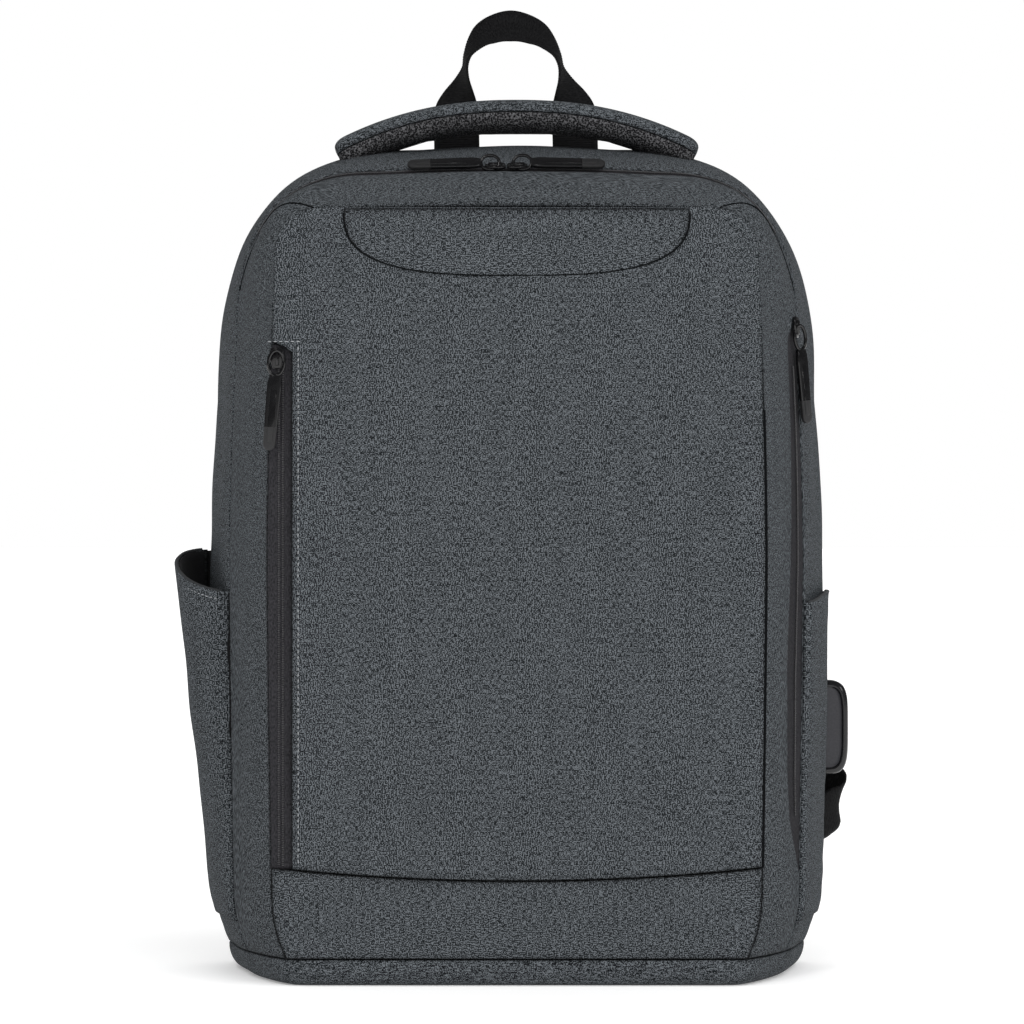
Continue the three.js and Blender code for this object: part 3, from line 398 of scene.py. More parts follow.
def crease_shade(nodes, links, color, depth=0.92):
    """Paints shade into a colour: darkens it towards near black where the piece's attribute of painted seam
    shade says that the cloth turns into a seam
    """
    painted_seam_shade = nodes.new("ShaderNodeAttribute")
    painted_seam_shade.attribute_name = "painted_seam_shade"
    amount = nodes.new("ShaderNodeMath")
    amount.operation = "MULTIPLY"
    amount.inputs[1].default_value = depth
    links.new(painted_seam_shade.outputs["Fac"], amount.inputs[0])
    shade = nodes.new("ShaderNodeMix")
    shade.data_type = "RGBA"
    shade.inputs["B"].default_value = (0.002, 0.002, 0.002, 1.0)
    links.new(amount.outputs[0], shade.inputs["Factor"])
    links.new(color, shade.inputs["A"])
    return shade.outputs["Result"]


def heather(name, along_x=False):
    """Heather cloth on the weave map, or on object coordinates with the grain along X"""
    material, nodes, links, shader = new_material(name)
    place = cloth_coordinates(nodes, along_x)
    fine, streak = THREADS_A_METRE, STREAKS_A_METRE
    if along_x:
        long_way, spots = (streak, fine, fine), (fine, fine, fine)
        patches = (25.0, 140.0, 140.0)
    else:
        long_way, spots = (fine, streak, 0.0), (fine, fine * 0.8, 0.0)
        patches = (140.0, 25.0, 0.0)
    streaks = stretched_noise(nodes, links, place, long_way, 0.0)
    speckle = stretched_noise(nodes, links, place, spots, 0.0)
    patch = stretched_noise(nodes, links, place, patches, 2.0)
    parts = ((streaks, 0.6), (speckle, 1.2), (patch, 0.1))
    tone = add_up(nodes, links, parts)
    centre = nodes.new("ShaderNodeMath")
    centre.operation = "SUBTRACT"
    centre.inputs[1].default_value = sum(weight for _, weight in parts) / 2 - 0.5
    links.new(tone, centre.inputs[0])
    stops = ((0.32, HEATHER_DARK), (0.50, HEATHER_MID), (0.68, HEATHER_LIGHT))
    color = color_ramp(nodes, links, centre.outputs[0], stops)
    # Painted shade beside the seams darkens the heather's colour.
    links.new(crease_shade(nodes, links, color), shader.inputs["Base Color"])
    shader.inputs["Roughness"].default_value = 0.92
    shader.inputs["Specular IOR Level"].default_value = 0.1
    bump_from(nodes, links, shader, centre.outputs[0], 0.2 * MM)
    return material


heather_cloth = heather("heather_cloth")
heather_along_x = heather("heather_cloth_along_x", along_x=True)

# %% [markdown]
# The bag's form follows a rule, the same that the model's solids follow: sections from front to back, each
# with a slightly crowned top, a rounded corner and a side that leans in above the waist and curves in at
# the foot. Here the sections are joined by smooth curves, because cloth has no creases between its seams.

# %% Body form
BODY_WIDTH = 334 * MM
BODY_HEIGHT = 444 * MM
BODY_DEPTH = 147 * MM
FRONT_REACH = 85 * MM
CROWN = 2 * MM
TRAY_RIM = 14 * MM
GAP = 0.3 * MM
WALL_FOOT = TRAY_RIM + GAP
WAIST_HEIGHT = 215 * MM
SHOULDER_DRAW = 4.6 * MM
SIDE_TAPER = 3.5 * MM
FOOT_CURVE = 46 * MM
FOOT_DRAW = 15 * MM
CORNER_POWER = 2.6
HALF_WIDTH = BODY_WIDTH / 2
FRONT_Y = -FRONT_REACH
BACK_Y = FRONT_Y + BODY_DEPTH

SECTION_COLUMNS = ("depth", "wide", "high", "corner_wide", "corner_high")
SECTIONS = np.array((
    (0.00, 0.782, 0.913, 0.17, 0.065),
    (0.10, 0.835, 0.935, 0.24, 0.100),
    (0.25, 0.893, 0.957, 0.42, 0.180),
    (0.34, 0.922, 0.967, 0.48, 0.210),
    (0.58, 0.970, 0.988, 0.60, 0.270),
    (0.80, 1.000, 1.000, 0.66, 0.310),
    (0.92, 0.995, 0.998, 0.66, 0.310),
    (1.00, 0.965, 0.982, 0.63, 0.300),
))


def smooth_step(x, low, high):
    t = np.clip((x - low) / (high - low), 0, 1)
    return t * t * (3 - 2 * t)


def mix(a, b, share):
    return a + (b - a) * share


def section(column, depth):
    """A column of the section table at any depth, on a smooth curve through the rows"""
    places, values = SECTIONS[:, 0], SECTIONS[:, SECTION_COLUMNS.index(column)]
    slopes = np.gradient(values, places)
    low = np.clip(np.searchsorted(places, depth, side="right") - 1, 0, len(places) - 2)
    gap = places[low + 1] - places[low]
    t = (depth - places[low]) / gap
    ends = mix(values[low], values[low + 1], t * t * (3 - 2 * t))
    return ends + gap * (t * (1 - t) ** 2 * slopes[low] - t * t * (1 - t) * slopes[low + 1])


def depth_y(depth):
    return FRONT_Y + depth * BODY_DEPTH


def side_draw(z, corner_foot):
    lean = np.maximum((z - WAIST_HEIGHT) / (corner_foot - WAIST_HEIGHT), 0)
    taper = (corner_foot - z) / (corner_foot - WALL_FOOT)
    curve = np.maximum(FOOT_CURVE - z, 0) / FOOT_CURVE
    return SHOULDER_DRAW * lean ** 1.5 + SIDE_TAPER * taper ** 2 + FOOT_DRAW * curve ** 2


def body_point(depth, way, out=0.0):
    """Points of the outline: way is 0 at the crown, 1 to 2 round a corner, 3 at the foot, with X's sign"""
    depth, way = np.broadcast_arrays(np.asarray(depth, float), np.asarray(way, float))
    half = section("wide", depth) * HALF_WIDTH + out
    top = section("high", depth) * BODY_HEIGHT + out
    corner_wide = section("corner_wide", depth) * HALF_WIDTH + out
    corner_high = section("corner_high", depth) * BODY_HEIGHT + out
    away = np.abs(way)
    crown = np.minimum(away, 1)
    turn = np.clip(away - 1, 0, 1) * math.pi / 2
    x = (half - SHOULDER_DRAW - corner_wide) * crown + corner_wide * np.sin(turn) ** (2 / CORNER_POWER)
    z = top + CROWN * (1 - crown ** 2) - corner_high * (1 - np.maximum(np.cos(turn), 0) ** (2 / CORNER_POWER))
    side = away > 2
    z = np.where(side, mix(top - corner_high, WALL_FOOT, away - 2), z)
    x = np.where(side, half - side_draw(z, top - corner_high), x)
    return np.stack([np.sign(way) * x, depth_y(depth), z], axis=-1)


def edge_at(depth, z, out=0.0):
    """Half width of the body at a height"""
    half = section("wide", depth) * HALF_WIDTH + out
    corner_high = section("corner_high", depth) * BODY_HEIGHT + out
    corner_wide = section("corner_wide", depth) * HALF_WIDTH + out
    corner_foot = section("high", depth) * BODY_HEIGHT + out - corner_high
    rise = np.clip((z - corner_foot) / corner_high, 0, 1)
    round_part = corner_wide * (1 - rise ** CORNER_POWER) ** (1 / CORNER_POWER)
    round_part = half - SHOULDER_DRAW - corner_wide + round_part
    return np.where(z < corner_foot, half - side_draw(z, corner_foot), round_part)


WAY_FINE = np.linspace(0, 3, 1201)
WAY_LENGTHS = lengths_along(body_point(0.3, WAY_FINE))


def even_way(start, stop, share):
    """The way between two places whose shares are even along the outline"""
    def length(way):
        return np.sign(way) * np.interp(np.abs(way), WAY_FINE, WAY_LENGTHS)

    place = mix(length(start), length(stop), share)
    return np.sign(place) * np.interp(np.abs(place), WAY_LENGTHS, WAY_FINE)


print("outline:", round(2 * WAY_LENGTHS[-1], 3), "m round")

# %% [markdown]
# The front panel is one piece of cloth over a thin stiffener. It bulges a little between its seams and has
# a few shallow dents where the cloth pulls. Its top corners are round, its foot meets the band in a shallow
# curve, and its left edge stops short of the corner to leave a window for the upright zip.

# %% Front panel
FRONT_BULGE = 7 * MM
BAND_HEIGHT = 48 * MM
BAND_SAG = 7 * MM
LEFT_ZIP_TOP = 333 * MM
LEFT_ZIP_WINDOW = 13.4 * MM
FRONT_HALF = section("wide", 0.0) * HALF_WIDTH
FRONT_TOP = section("high", 0.0) * BODY_HEIGHT

FRONT_DENTS = (
    # across, up, wide, tall, deep
    (0.90, 0.40, 0.16, 0.05, 0.45),
    (0.86, 0.70, 0.07, 0.16, 0.30),
    (0.45, 0.27, 0.35, 0.06, 0.25),
    (-0.40, 0.55, 0.30, 0.14, -0.25),
    (0.35, 0.58, 0.25, 0.12, -0.20),
    (-0.80, 0.86, 0.10, 0.07, 0.30),
    (0.00, 0.19, 0.50, 0.03, 0.30),
)


def front_y(x, z):
    across = np.minimum(np.abs(x) / FRONT_HALF, 1)
    up = np.minimum(np.abs(2 * z / FRONT_TOP - 1), 1)
    dents = sum(
        deep * np.exp(-((x / FRONT_HALF - place) / wide) ** 2 - ((z / BODY_HEIGHT - height) / tall) ** 2)
        for place, height, wide, tall, deep in FRONT_DENTS)
    rim = smooth_step(1 - across, 0, 0.12) * smooth_step(1 - up, 0, 0.12)
    return FRONT_Y - FRONT_BULGE * np.maximum((1 - across ** 4) * (1 - up ** 4) - dents * rim, 0)


def band_seam(x):
    return WALL_FOOT + BAND_HEIGHT - BAND_SAG * (1 - (x / FRONT_HALF) ** 2)


def on_front(x, z):
    return np.stack([x, front_y(x, z), z], axis=-1)


FRONT_CORNER_HIGH = section("corner_high", 0.0) * BODY_HEIGHT
FRONT_CORNER_FOOT = FRONT_TOP - FRONT_CORNER_HIGH
BESIDE_ZIP = LEFT_ZIP_WINDOW - FRONT_HALF


def front_height(share, foot):
    """Heights of the front panel's rows, closer together round the top corners"""
    straight = np.minimum(share / 0.9, 1)
    corner = np.clip((share - 0.9) / 0.1, 0, 1)
    return mix(foot, FRONT_CORNER_FOOT, straight) + FRONT_CORNER_HIGH * np.sin(corner * math.pi / 2)


CORNER_LOW, CORNER_HIGH = 292 * MM, 372 * MM
CORNER_IN, CORNER_OUT = 104 * MM, 116 * MM
FAINT_SEAM = 0.12


def front_fade(points):
    """How deep a seam sinks beside the front panel and how much painted shade it has: both die out over the top
    corners, sooner on the left
    """
    x, z = points[..., 0], points[..., 2]
    left = mix(0.55, FAINT_SEAM, smooth_step(z, LEFT_ZIP_TOP, CORNER_HIGH))
    left = np.where(z < LEFT_ZIP_TOP, 1.0, left)
    right = mix(1.0, FAINT_SEAM, smooth_step(z, CORNER_LOW, CORNER_HIGH))
    beside = np.where(x < 0, left, right)
    return np.maximum(beside, 1 - smooth_step(np.abs(x), CORNER_IN, CORNER_OUT))


def front_panel_surface(u, v):
    z = front_height(v, WALL_FOOT + BAND_HEIGHT)
    half = edge_at(0.0, z) - SEAM_CLEARANCE
    open_zip = 1 - smooth_step(z, LEFT_ZIP_TOP - 2 * MM, LEFT_ZIP_TOP + 2 * MM)
    left = mix(-half, BESIDE_ZIP, open_zip)
    x = mix(left, half, u)
    band_top = WALL_FOOT + BAND_HEIGHT
    lift = (band_seam(x) - band_top) * (1 - smooth_step(z, band_top, LEFT_ZIP_TOP))
    return on_front(x, z + lift + SEAM_CLEARANCE)


front_panel = sewn_panel("front_panel_cloth", front_panel_surface, heather_cloth, (0, -1, 0), grain="v",
                         seed=11, weave=lambda points: points[..., (0, 2)], fade=front_fade)
dress(front_panel, "heather_cloth", "front_panel")

# %% [markdown]
# Below it lies the band, cut with its grain across the bag. The yoke is a second layer on the top of the
# front panel, with a curved lower edge that is folded under and sewn down.

# %% Band and yoke
def band_surface(u, v):
    half = edge_at(0.0, WALL_FOOT + v * BAND_HEIGHT) - SEAM_CLEARANCE
    x = mix(-half, half, u)
    return on_front(x, mix(WALL_FOOT + SEAM_CLEARANCE, band_seam(x) - SEAM_CLEARANCE, v))


bottom_band = sewn_panel("bottom_band_cloth", band_surface, heather_cloth, (0, -1, 0), grain="u", seed=12,
                         weave=lambda points: points[..., (2, 0)])
dress(bottom_band, "heather_cloth", "bottom_band")

YOKE_WIDTH = 180 * MM
YOKE_HEIGHT = 35 * MM
YOKE_POWER = 3.0
YOKE_STAND = 1.2 * MM


def yoke_surface(u, v):
    drop = YOKE_HEIGHT * np.sin(v * math.pi / 2)
    half = YOKE_WIDTH / 2 * np.maximum(1 - (drop / YOKE_HEIGHT) ** YOKE_POWER, 0.0015) ** (1 / YOKE_POWER)
    x = mix(-half, half, u)
    z = FRONT_TOP - GAP - drop
    points = on_front(x, z)
    points[..., 1] -= YOKE_STAND
    return points


yoke = sewn_panel("yoke_cloth", yoke_surface, heather_cloth, (0, -1, 0), grain="u", seed=13, creep=0.1 * MM,
                  weave=lambda points: points[..., (2, 0)])
dress(yoke, "heather_cloth", "yoke")

# %% [markdown]
# The gusset is the strip that gives the bag its depth. On the top it is cut with its grain across, and at
# each corner it narrows to a point, where the strip of the side begins with its grain upright. The seam
# between them runs slantwise over the corner. The main gusset behind the zips goes round the whole bag.

# %% Gussets
ZIP_TAPE = 10 * MM
ZIP_SEAM = 37 * MM
ZIP_FRONT = ZIP_SEAM / BODY_DEPTH
ZIP_REAR = (ZIP_SEAM + ZIP_TAPE) / BODY_DEPTH
SEAM_CLOSED = ZIP_REAR - 2.5 * GAP / BODY_DEPTH
FRONT_START = 0.3 * MM / BODY_DEPTH
SIDE_SEAM_FRONT = 1.12
SIDE_SEAM_REAR = 1.9
SEAM_ZIPS = ((-1.75, 1.75, 0.12), (1.94, 2.9, 0.12))
RIGHT_ZIP_BOW = (
    # way along the outline, depth of the zip's front edge there
    (1.94, 0.205),
    (2.20, 0.200),
    (2.40, 0.175),
    (2.56, 0.150),
    (2.72, 0.165),
    (2.90, 0.235),
)


def seam_depth(way):
    """Depth of the strip's rear edge: closed behind the zip tape, and open along each zip"""
    depth = SEAM_CLOSED + 0 * way
    bow = np.interp(way, *np.transpose(RIGHT_ZIP_BOW))
    for (start, stop, taper), front in zip(SEAM_ZIPS, (ZIP_FRONT, bow)):
        opened = np.minimum(smooth_step(way, start, start + taper), smooth_step(-way, -stop, taper - stop))
        depth = np.minimum(depth, mix(SEAM_CLOSED, front, opened))
    return depth


def side_seam(v):
    return mix(SIDE_SEAM_FRONT, SIDE_SEAM_REAR, v)


def top_gusset_surface(u, v):
    way = even_way(-side_seam(v), side_seam(v), u)
    return body_point(mix(FRONT_START, seam_depth(way), v), way)


def side_gusset_surface(side):
    def surface(u, v):
        way = side * even_way(side_seam(v), 3.0 + 0 * v, u)
        return body_point(mix(FRONT_START, seam_depth(way), v), way)
    return surface


def strip_fade(points):
    beside_front = points[..., 1] < FRONT_Y + 6 * MM
    return np.where(beside_front, front_fade(points), 1.0)


FOLD_HEIGHT = 0.9 * MM
FOLD_WIDTH = 6 * MM


def front_fold(points):
    """The top gusset's front edge stands up as a soft fold over the front panel"""
    return FOLD_HEIGHT * np.exp(-((points[..., 1] - FRONT_Y) / FOLD_WIDTH) ** 2)


top_gusset = sewn_panel("top_gusset_cloth", top_gusset_surface, heather_cloth, (0, 0, 1), grain="u", seed=14,
                        relief=front_fold, dark=(1, 1, 0.25, 0.2), fade=strip_fade, coarse_across=0.8)
dress(top_gusset, "heather_cloth", "front_gusset")
for side, label in SIDES:
    strip = sewn_panel(f"side_strip_{label}_cloth", side_gusset_surface(side), heather_cloth, (side, 0, 0),
                       grain="u", seed=15 + side, dark=(1, 1, 1, 0.2), fade=strip_fade,
                       coarse_across=0.65)
    dress(strip, "heather_cloth", "front_gusset")


def main_gusset_surface(u, v):
    way = even_way(-3.0, 3.0, u)
    return body_point(mix(ZIP_REAR + 0.2 * MM / BODY_DEPTH, 1.0, v), way)


main_gusset = sewn_panel("main_gusset_cloth", main_gusset_surface, heather_cloth, (0, 0, 1), grain="u", seed=18,
                         dark=(1, 1, 0.2, 1), coarse_across=0.65)
dress(main_gusset, "heather_cloth", "main_gusset")

# %% [markdown]
# A seam shows as a fine dark line where two cloths meet. A thin near-black tube of painted shadow lies in the
# seams that stand out most: round the yoke, slantwise over the top corners and down the right edge of the
# front.

# %% Painted seam shadows
def tube_along(name, points, radius, material, sides=10):
    """A round cord of cloth along a line of points, with closed ends"""
    tangents = np.gradient(points, axis=0)
    tangents /= np.linalg.norm(tangents, axis=-1, keepdims=True)
    helper = np.cross(tangents, np.array([0.13, 0.27, 0.95]))
    helper /= np.linalg.norm(helper, axis=-1, keepdims=True)
    other = np.cross(tangents, helper)
    turn = np.linspace(0, 2 * math.pi, sides, endpoint=False)
    ring = helper[:, None] * np.cos(turn)[None, :, None] + other[:, None] * np.sin(turn)[None, :, None]
    return add_object(name, capped_grid(name, points[:, None] + ring * radius, smooth_caps=False), material)


SEAM_SHADOW_RADIUS = 0.55 * MM
# Painted shadow: a near-black finish for the tubes that stand for the shade in the seam grooves.
painted_seam_shadow = plain_material("painted_seam_shadow", (0.004, 0.0045, 0.005), 0.95)
painted_seam_shadow.node_tree.nodes["Principled BSDF"].inputs["Specular IOR Level"].default_value = 0.05


# Draws a tube of painted seam shadow along a line.
def seam_line(name, points, radius=SEAM_SHADOW_RADIUS):
    return dress(tube_along(name, points, radius, painted_seam_shadow, 8), "heather_cloth")


turn = np.linspace(-math.pi / 2 + 0.02, math.pi / 2 - 0.02, 160)
drop = YOKE_HEIGHT * np.cos(turn) ** (2 / YOKE_POWER)
across = YOKE_WIDTH / 2 * np.sign(turn) * np.abs(np.sin(turn)) ** (2 / YOKE_POWER)
line = on_front(across, FRONT_TOP - GAP - drop)
line[:, 1] -= 0.35 * MM
seam_line("yoke_edge_shadow", line)
for side, label in SIDES:
    v = np.linspace(0.01, 0.97, 120)
    way = side * side_seam(v)
    seam_line(f"corner_seam_shadow_{label}", body_point(mix(FRONT_START, seam_depth(way), v), way, -0.15 * MM))
rise = np.linspace(WALL_FOOT + BAND_HEIGHT, 300 * MM, 100)
edge = np.stack([edge_at(0.0, rise), FRONT_Y + 0.2 * MM + 0 * rise, rise], axis=-1)
seam_line("front_right_line", edge, 0.7 * MM)

# %% [markdown]
# Two kinds of small piece repeat along a line: the teeth of a zip's coil and the stitches of a seam. One
# Geometry Nodes tree makes both. It resamples a guide line at the pitch, sets a small rounded bead at each
# point, turned along the line and out of the cloth, and shifts every second one aside. The result is taken
# as a plain mesh.

# %% Beads along a line
LINE_INPUTS = ("Pitch", "Along", "Across", "Height", "Side step")


def line_tree():
    tree = bpy.data.node_groups.new("beads_along_a_line", "GeometryNodeTree")
    tree.interface.new_socket(name="Guide", in_out="INPUT", socket_type="NodeSocketGeometry")
    for label in LINE_INPUTS:
        tree.interface.new_socket(name=label, in_out="INPUT", socket_type="NodeSocketFloat")
    tree.interface.new_socket(name="Finish", in_out="INPUT", socket_type="NodeSocketMaterial")
    tree.interface.new_socket(name="Beads", in_out="OUTPUT", socket_type="NodeSocketGeometry")
    add, link = tree.nodes.new, tree.links.new
    inputs, output = add("NodeGroupInput"), add("NodeGroupOutput")
    curve, even = add("GeometryNodeMeshToCurve"), add("GeometryNodeResampleCurve")
    even.mode = "LENGTH"
    bead = add("GeometryNodeMeshUVSphere")
    bead.inputs["Segments"].default_value = 6
    bead.inputs["Rings"].default_value = 4
    bead.inputs["Radius"].default_value = 0.5
    tangent, outward = add("GeometryNodeInputTangent"), add("GeometryNodeInputNamedAttribute")
    outward.data_type = "FLOAT_VECTOR"
    outward.inputs["Name"].default_value = "outward"
    lie, stand = add("FunctionNodeAlignRotationToVector"), add("FunctionNodeAlignRotationToVector")
    lie.axis, stand.axis, stand.pivot_axis = "X", "Z", "X"
    size, scatter = add("ShaderNodeCombineXYZ"), add("GeometryNodeInstanceOnPoints")
    index, odd, centred, aside = (add("GeometryNodeInputIndex"), add("ShaderNodeMath"), add("ShaderNodeMath"),
                                  add("ShaderNodeMath"))
    odd.operation, odd.inputs[1].default_value = "MODULO", 2.0
    centred.operation, centred.inputs[1].default_value = "SUBTRACT", 0.5
    aside.operation = "MULTIPLY"
    shift, move = add("ShaderNodeCombineXYZ"), add("GeometryNodeTranslateInstances")
    real, smooth, finish = add("GeometryNodeRealizeInstances"), add("GeometryNodeSetShadeSmooth"), add(
        "GeometryNodeSetMaterial")
    link(inputs.outputs["Guide"], curve.inputs["Mesh"])
    link(curve.outputs["Curve"], even.inputs["Curve"])
    link(inputs.outputs["Pitch"], even.inputs["Length"])
    link(even.outputs["Curve"], scatter.inputs["Points"])
    link(bead.outputs["Mesh"], scatter.inputs["Instance"])
    link(tangent.outputs[0], lie.inputs["Vector"])
    link(lie.outputs["Rotation"], stand.inputs["Rotation"])
    link(outward.outputs["Attribute"], stand.inputs["Vector"])
    link(stand.outputs["Rotation"], scatter.inputs["Rotation"])
    for label, axis in (("Along", "X"), ("Across", "Y"), ("Height", "Z")):
        link(inputs.outputs[label], size.inputs[axis])
    link(size.outputs[0], scatter.inputs["Scale"])
    link(index.outputs[0], odd.inputs[0])
    link(odd.outputs[0], centred.inputs[0])
    link(centred.outputs[0], aside.inputs[0])
    link(inputs.outputs["Side step"], aside.inputs[1])
    link(aside.outputs[0], shift.inputs["Y"])
    link(scatter.outputs["Instances"], move.inputs["Instances"])
    link(shift.outputs[0], move.inputs["Translation"])
    link(move.outputs["Instances"], real.inputs["Geometry"])
    link(real.outputs["Geometry"], smooth.inputs["Geometry"])
    link(smooth.outputs["Geometry"], finish.inputs["Geometry"])
    link(inputs.outputs["Finish"], finish.inputs["Material"])
    link(finish.outputs["Geometry"], output.inputs["Beads"])
    return tree


beads_tree = line_tree()


def beads_along(name, points, outward, material, pitch, along, across, height, side_step=0.0):
    """Small rounded beads along a line of points, each facing outward there"""
    guide_mesh = bpy.data.meshes.new(name + "_guide")
    guide_mesh.from_pydata(points.tolist(), [(i, i + 1) for i in range(len(points) - 1)], [])
    facing = guide_mesh.attributes.new("outward", "FLOAT_VECTOR", "POINT")
    facing.data.foreach_set("vector", np.broadcast_to(outward, points.shape).astype(np.float32).ravel())
    guide = add_object(name + "_guide", guide_mesh)
    modifier = guide.modifiers.new("beads", "NODES")
    modifier.node_group = beads_tree
    sockets = {item.name: item.identifier for item in beads_tree.interface.items_tree if item.in_out == "INPUT"}
    for label, value in zip(LINE_INPUTS, (pitch, along, across, height, side_step / across)):
        modifier[sockets[label]] = float(value)
    modifier[sockets["Finish"]] = material
    graph = bpy.context.evaluated_depsgraph_get()
    made = bpy.data.meshes.new_from_object(guide.evaluated_get(graph))
    made.name = name
    bpy.data.objects.remove(guide)
    piece = add_object(name, made)
    print(name, len(made.polygons), "faces")
    return piece


# %% [markdown]
# The zips are coil zips in dark tape. The tape has a fine lengthwise rib, and the coil is a row of tiny
# loops that mesh from both sides. The finishes of tape, coil, thread, webbing and spacer mesh are all made
# here.

# %% Dark finishes
def ribbed_cloth(name, dark, light, rib, cross, roughness=0.85, sheen=0.05):
    """A dark woven tape with ribs across and along its weave map, in cycles to the metre"""
    material, nodes, links, shader = new_material(name)
    place = cloth_coordinates(nodes, False)
    speckle = stretched_noise(nodes, links, place, (rib, cross, 0.0), 1.0)
    soft = stretched_noise(nodes, links, place, (220.0, 60.0, 0.0), 2.0)
    tone = add_up(nodes, links, ((speckle, 0.8), (soft, 0.2)))
    links.new(color_ramp(nodes, links, tone, ((0.3, dark), (0.7, light))), shader.inputs["Base Color"])
    shader.inputs["Roughness"].default_value = roughness
    shader.inputs["Specular IOR Level"].default_value = 0.12
    shader.inputs["Sheen Weight"].default_value = sheen
    bump_from(nodes, links, shader, tone, 0.15 * MM)
    return material


tape_cloth = ribbed_cloth("zip_tape", (0.008, 0.008, 0.009), (0.034, 0.033, 0.037), 1300.0, 700.0, 0.85, 0.0)
webbing = ribbed_cloth("black_webbing", (0.002, 0.002, 0.0024), (0.0095, 0.0095, 0.010),
                       500.0, 1300.0, 0.7, 0.0)
lining_cloth = ribbed_cloth("pocket_lining", (0.004, 0.004, 0.0045), (0.010, 0.010, 0.011), 1500.0, 1500.0)
binding_cloth = ribbed_cloth("dark_binding", (0.012, 0.013, 0.014), (0.040, 0.042, 0.045), 1500.0, 900.0)


def speckled(name, dark, light, scale, roughness, **sockets):
    """A moulded or metal finish with a faint cloudy variation"""
    material, nodes, links, shader = new_material(name)
    place = cloth_coordinates(nodes, True)
    cloud = stretched_noise(nodes, links, place, (scale, scale, scale), 3.0)
    links.new(color_ramp(nodes, links, cloud, ((0.3, dark), (0.7, light))), shader.inputs["Base Color"])
    shader.inputs["Roughness"].default_value = roughness
    for label, value in sockets.items():
        shader.inputs[label.replace("_", " ")].default_value = value
    bump_from(nodes, links, shader, cloud, 0.03 * MM, 0.3)
    return material


coil_nylon = speckled("coil_nylon", (0.030, 0.030, 0.032), (0.090, 0.089, 0.092), 900.0, 0.42)
gloss_black = speckled("gloss_black", (0.003, 0.003, 0.0035), (0.006, 0.006, 0.0065), 300.0, 0.16)
pull_tip = speckled("pull_tip", (0.009, 0.009, 0.0095), (0.016, 0.016, 0.017), 1400.0, 0.6)
black_plastic = speckled("black_plastic", (0.012, 0.012, 0.014), (0.022, 0.022, 0.025), 1200.0, 0.42)
rubber = speckled("port_rubber", (0.030, 0.030, 0.034), (0.044, 0.044, 0.050), 900.0, 0.5)
gloss_rubber = speckled("port_rim", (0.005, 0.005, 0.006), (0.009, 0.009, 0.010), 900.0, 0.2)
pale_thread = speckled("pale_thread", (0.19, 0.20, 0.21), (0.36, 0.37, 0.38), 2500.0, 0.8)
dark_thread = speckled("dark_thread", (0.015, 0.016, 0.017), (0.040, 0.042, 0.045), 2500.0, 0.8)


def spacer_mesh_finish():
    """Knitted spacer mesh: a dark knit with small cells, bumped in and with painted shade in their middles for
    the openings, on object coordinates
    """
    material, nodes, links, shader = new_material("spacer_mesh")
    place = cloth_coordinates(nodes, True)
    cells = nodes.new("ShaderNodeTexVoronoi")
    cells.inputs["Scale"].default_value = 1000.0
    cells.inputs["Randomness"].default_value = 0.9
    links.new(place, cells.inputs["Vector"])
    cloud = stretched_noise(nodes, links, place, (1500.0, 1500.0, 1500.0), 1.0)
    tone = add_up(nodes, links, ((cells.outputs["Distance"], 0.6), (cloud, 0.6)))
    # The darkest stop, at the cells' middles, is painted shade in their openings.
    stops = ((0.40, (0.002, 0.002, 0.0025)), (0.56, (0.012, 0.012, 0.013)), (0.80, (0.11, 0.11, 0.115)))
    links.new(color_ramp(nodes, links, tone, stops), shader.inputs["Base Color"])
    shader.inputs["Roughness"].default_value = 0.85
    shader.inputs["Specular IOR Level"].default_value = 0.15
    bump_from(nodes, links, shader, tone, 0.8 * MM, 0.8)
    return material


spacer_mesh = spacer_mesh_finish()

# %% [markdown]
# Each zip in the seam is a tape that lies just under the outline, with the coil standing on its middle. The
# upright zip in the front's left edge is flat. All three use the same coil.

# %% Zips
TAPE_SINK = 0.7 * MM
COIL_PITCH = 0.46 * MM
COIL_SIZE = (0.55 * MM, 1.3 * MM, 0.9 * MM)
COIL_STEP = 2.1 * MM
COIL_LIFT = 0.4 * MM
TAPE_BACK = 0.4 * MM
TAPE_UNDER_FRONT = 2.0 * MM
TAPE_UNDER_REAR = 1.5 * MM


def coil_on(name, points, outward):
    raised = points + outward * COIL_LIFT
    coil = beads_along(name, raised, outward, coil_nylon, COIL_PITCH, *COIL_SIZE, COIL_STEP)
    return dress(coil, "zip_tape")


def flat_cloth(name, surface, material, outward, thickness, step=2 * MM, grain="u"):
    """A plain strip of cloth without rolled seams"""
    counts = [max(int(length / step), 2) + 1 for length in cut_lengths(surface, 21)]
    points = surface(*np.meshgrid(*[np.linspace(0, 1, count) for count in counts], indexing="ij"))
    u, v = surface_lengths(points)
    lengths = np.stack([v, u] if grain == "u" else [u, v], axis=-1)
    piece = add_object(name, grid_mesh(name, points, lengths, np.asarray(outward, float)), material)
    wall = piece.modifiers.new("cloth thickness", "SOLIDIFY")
    wall.thickness = thickness
    wall.offset = -1
    return piece


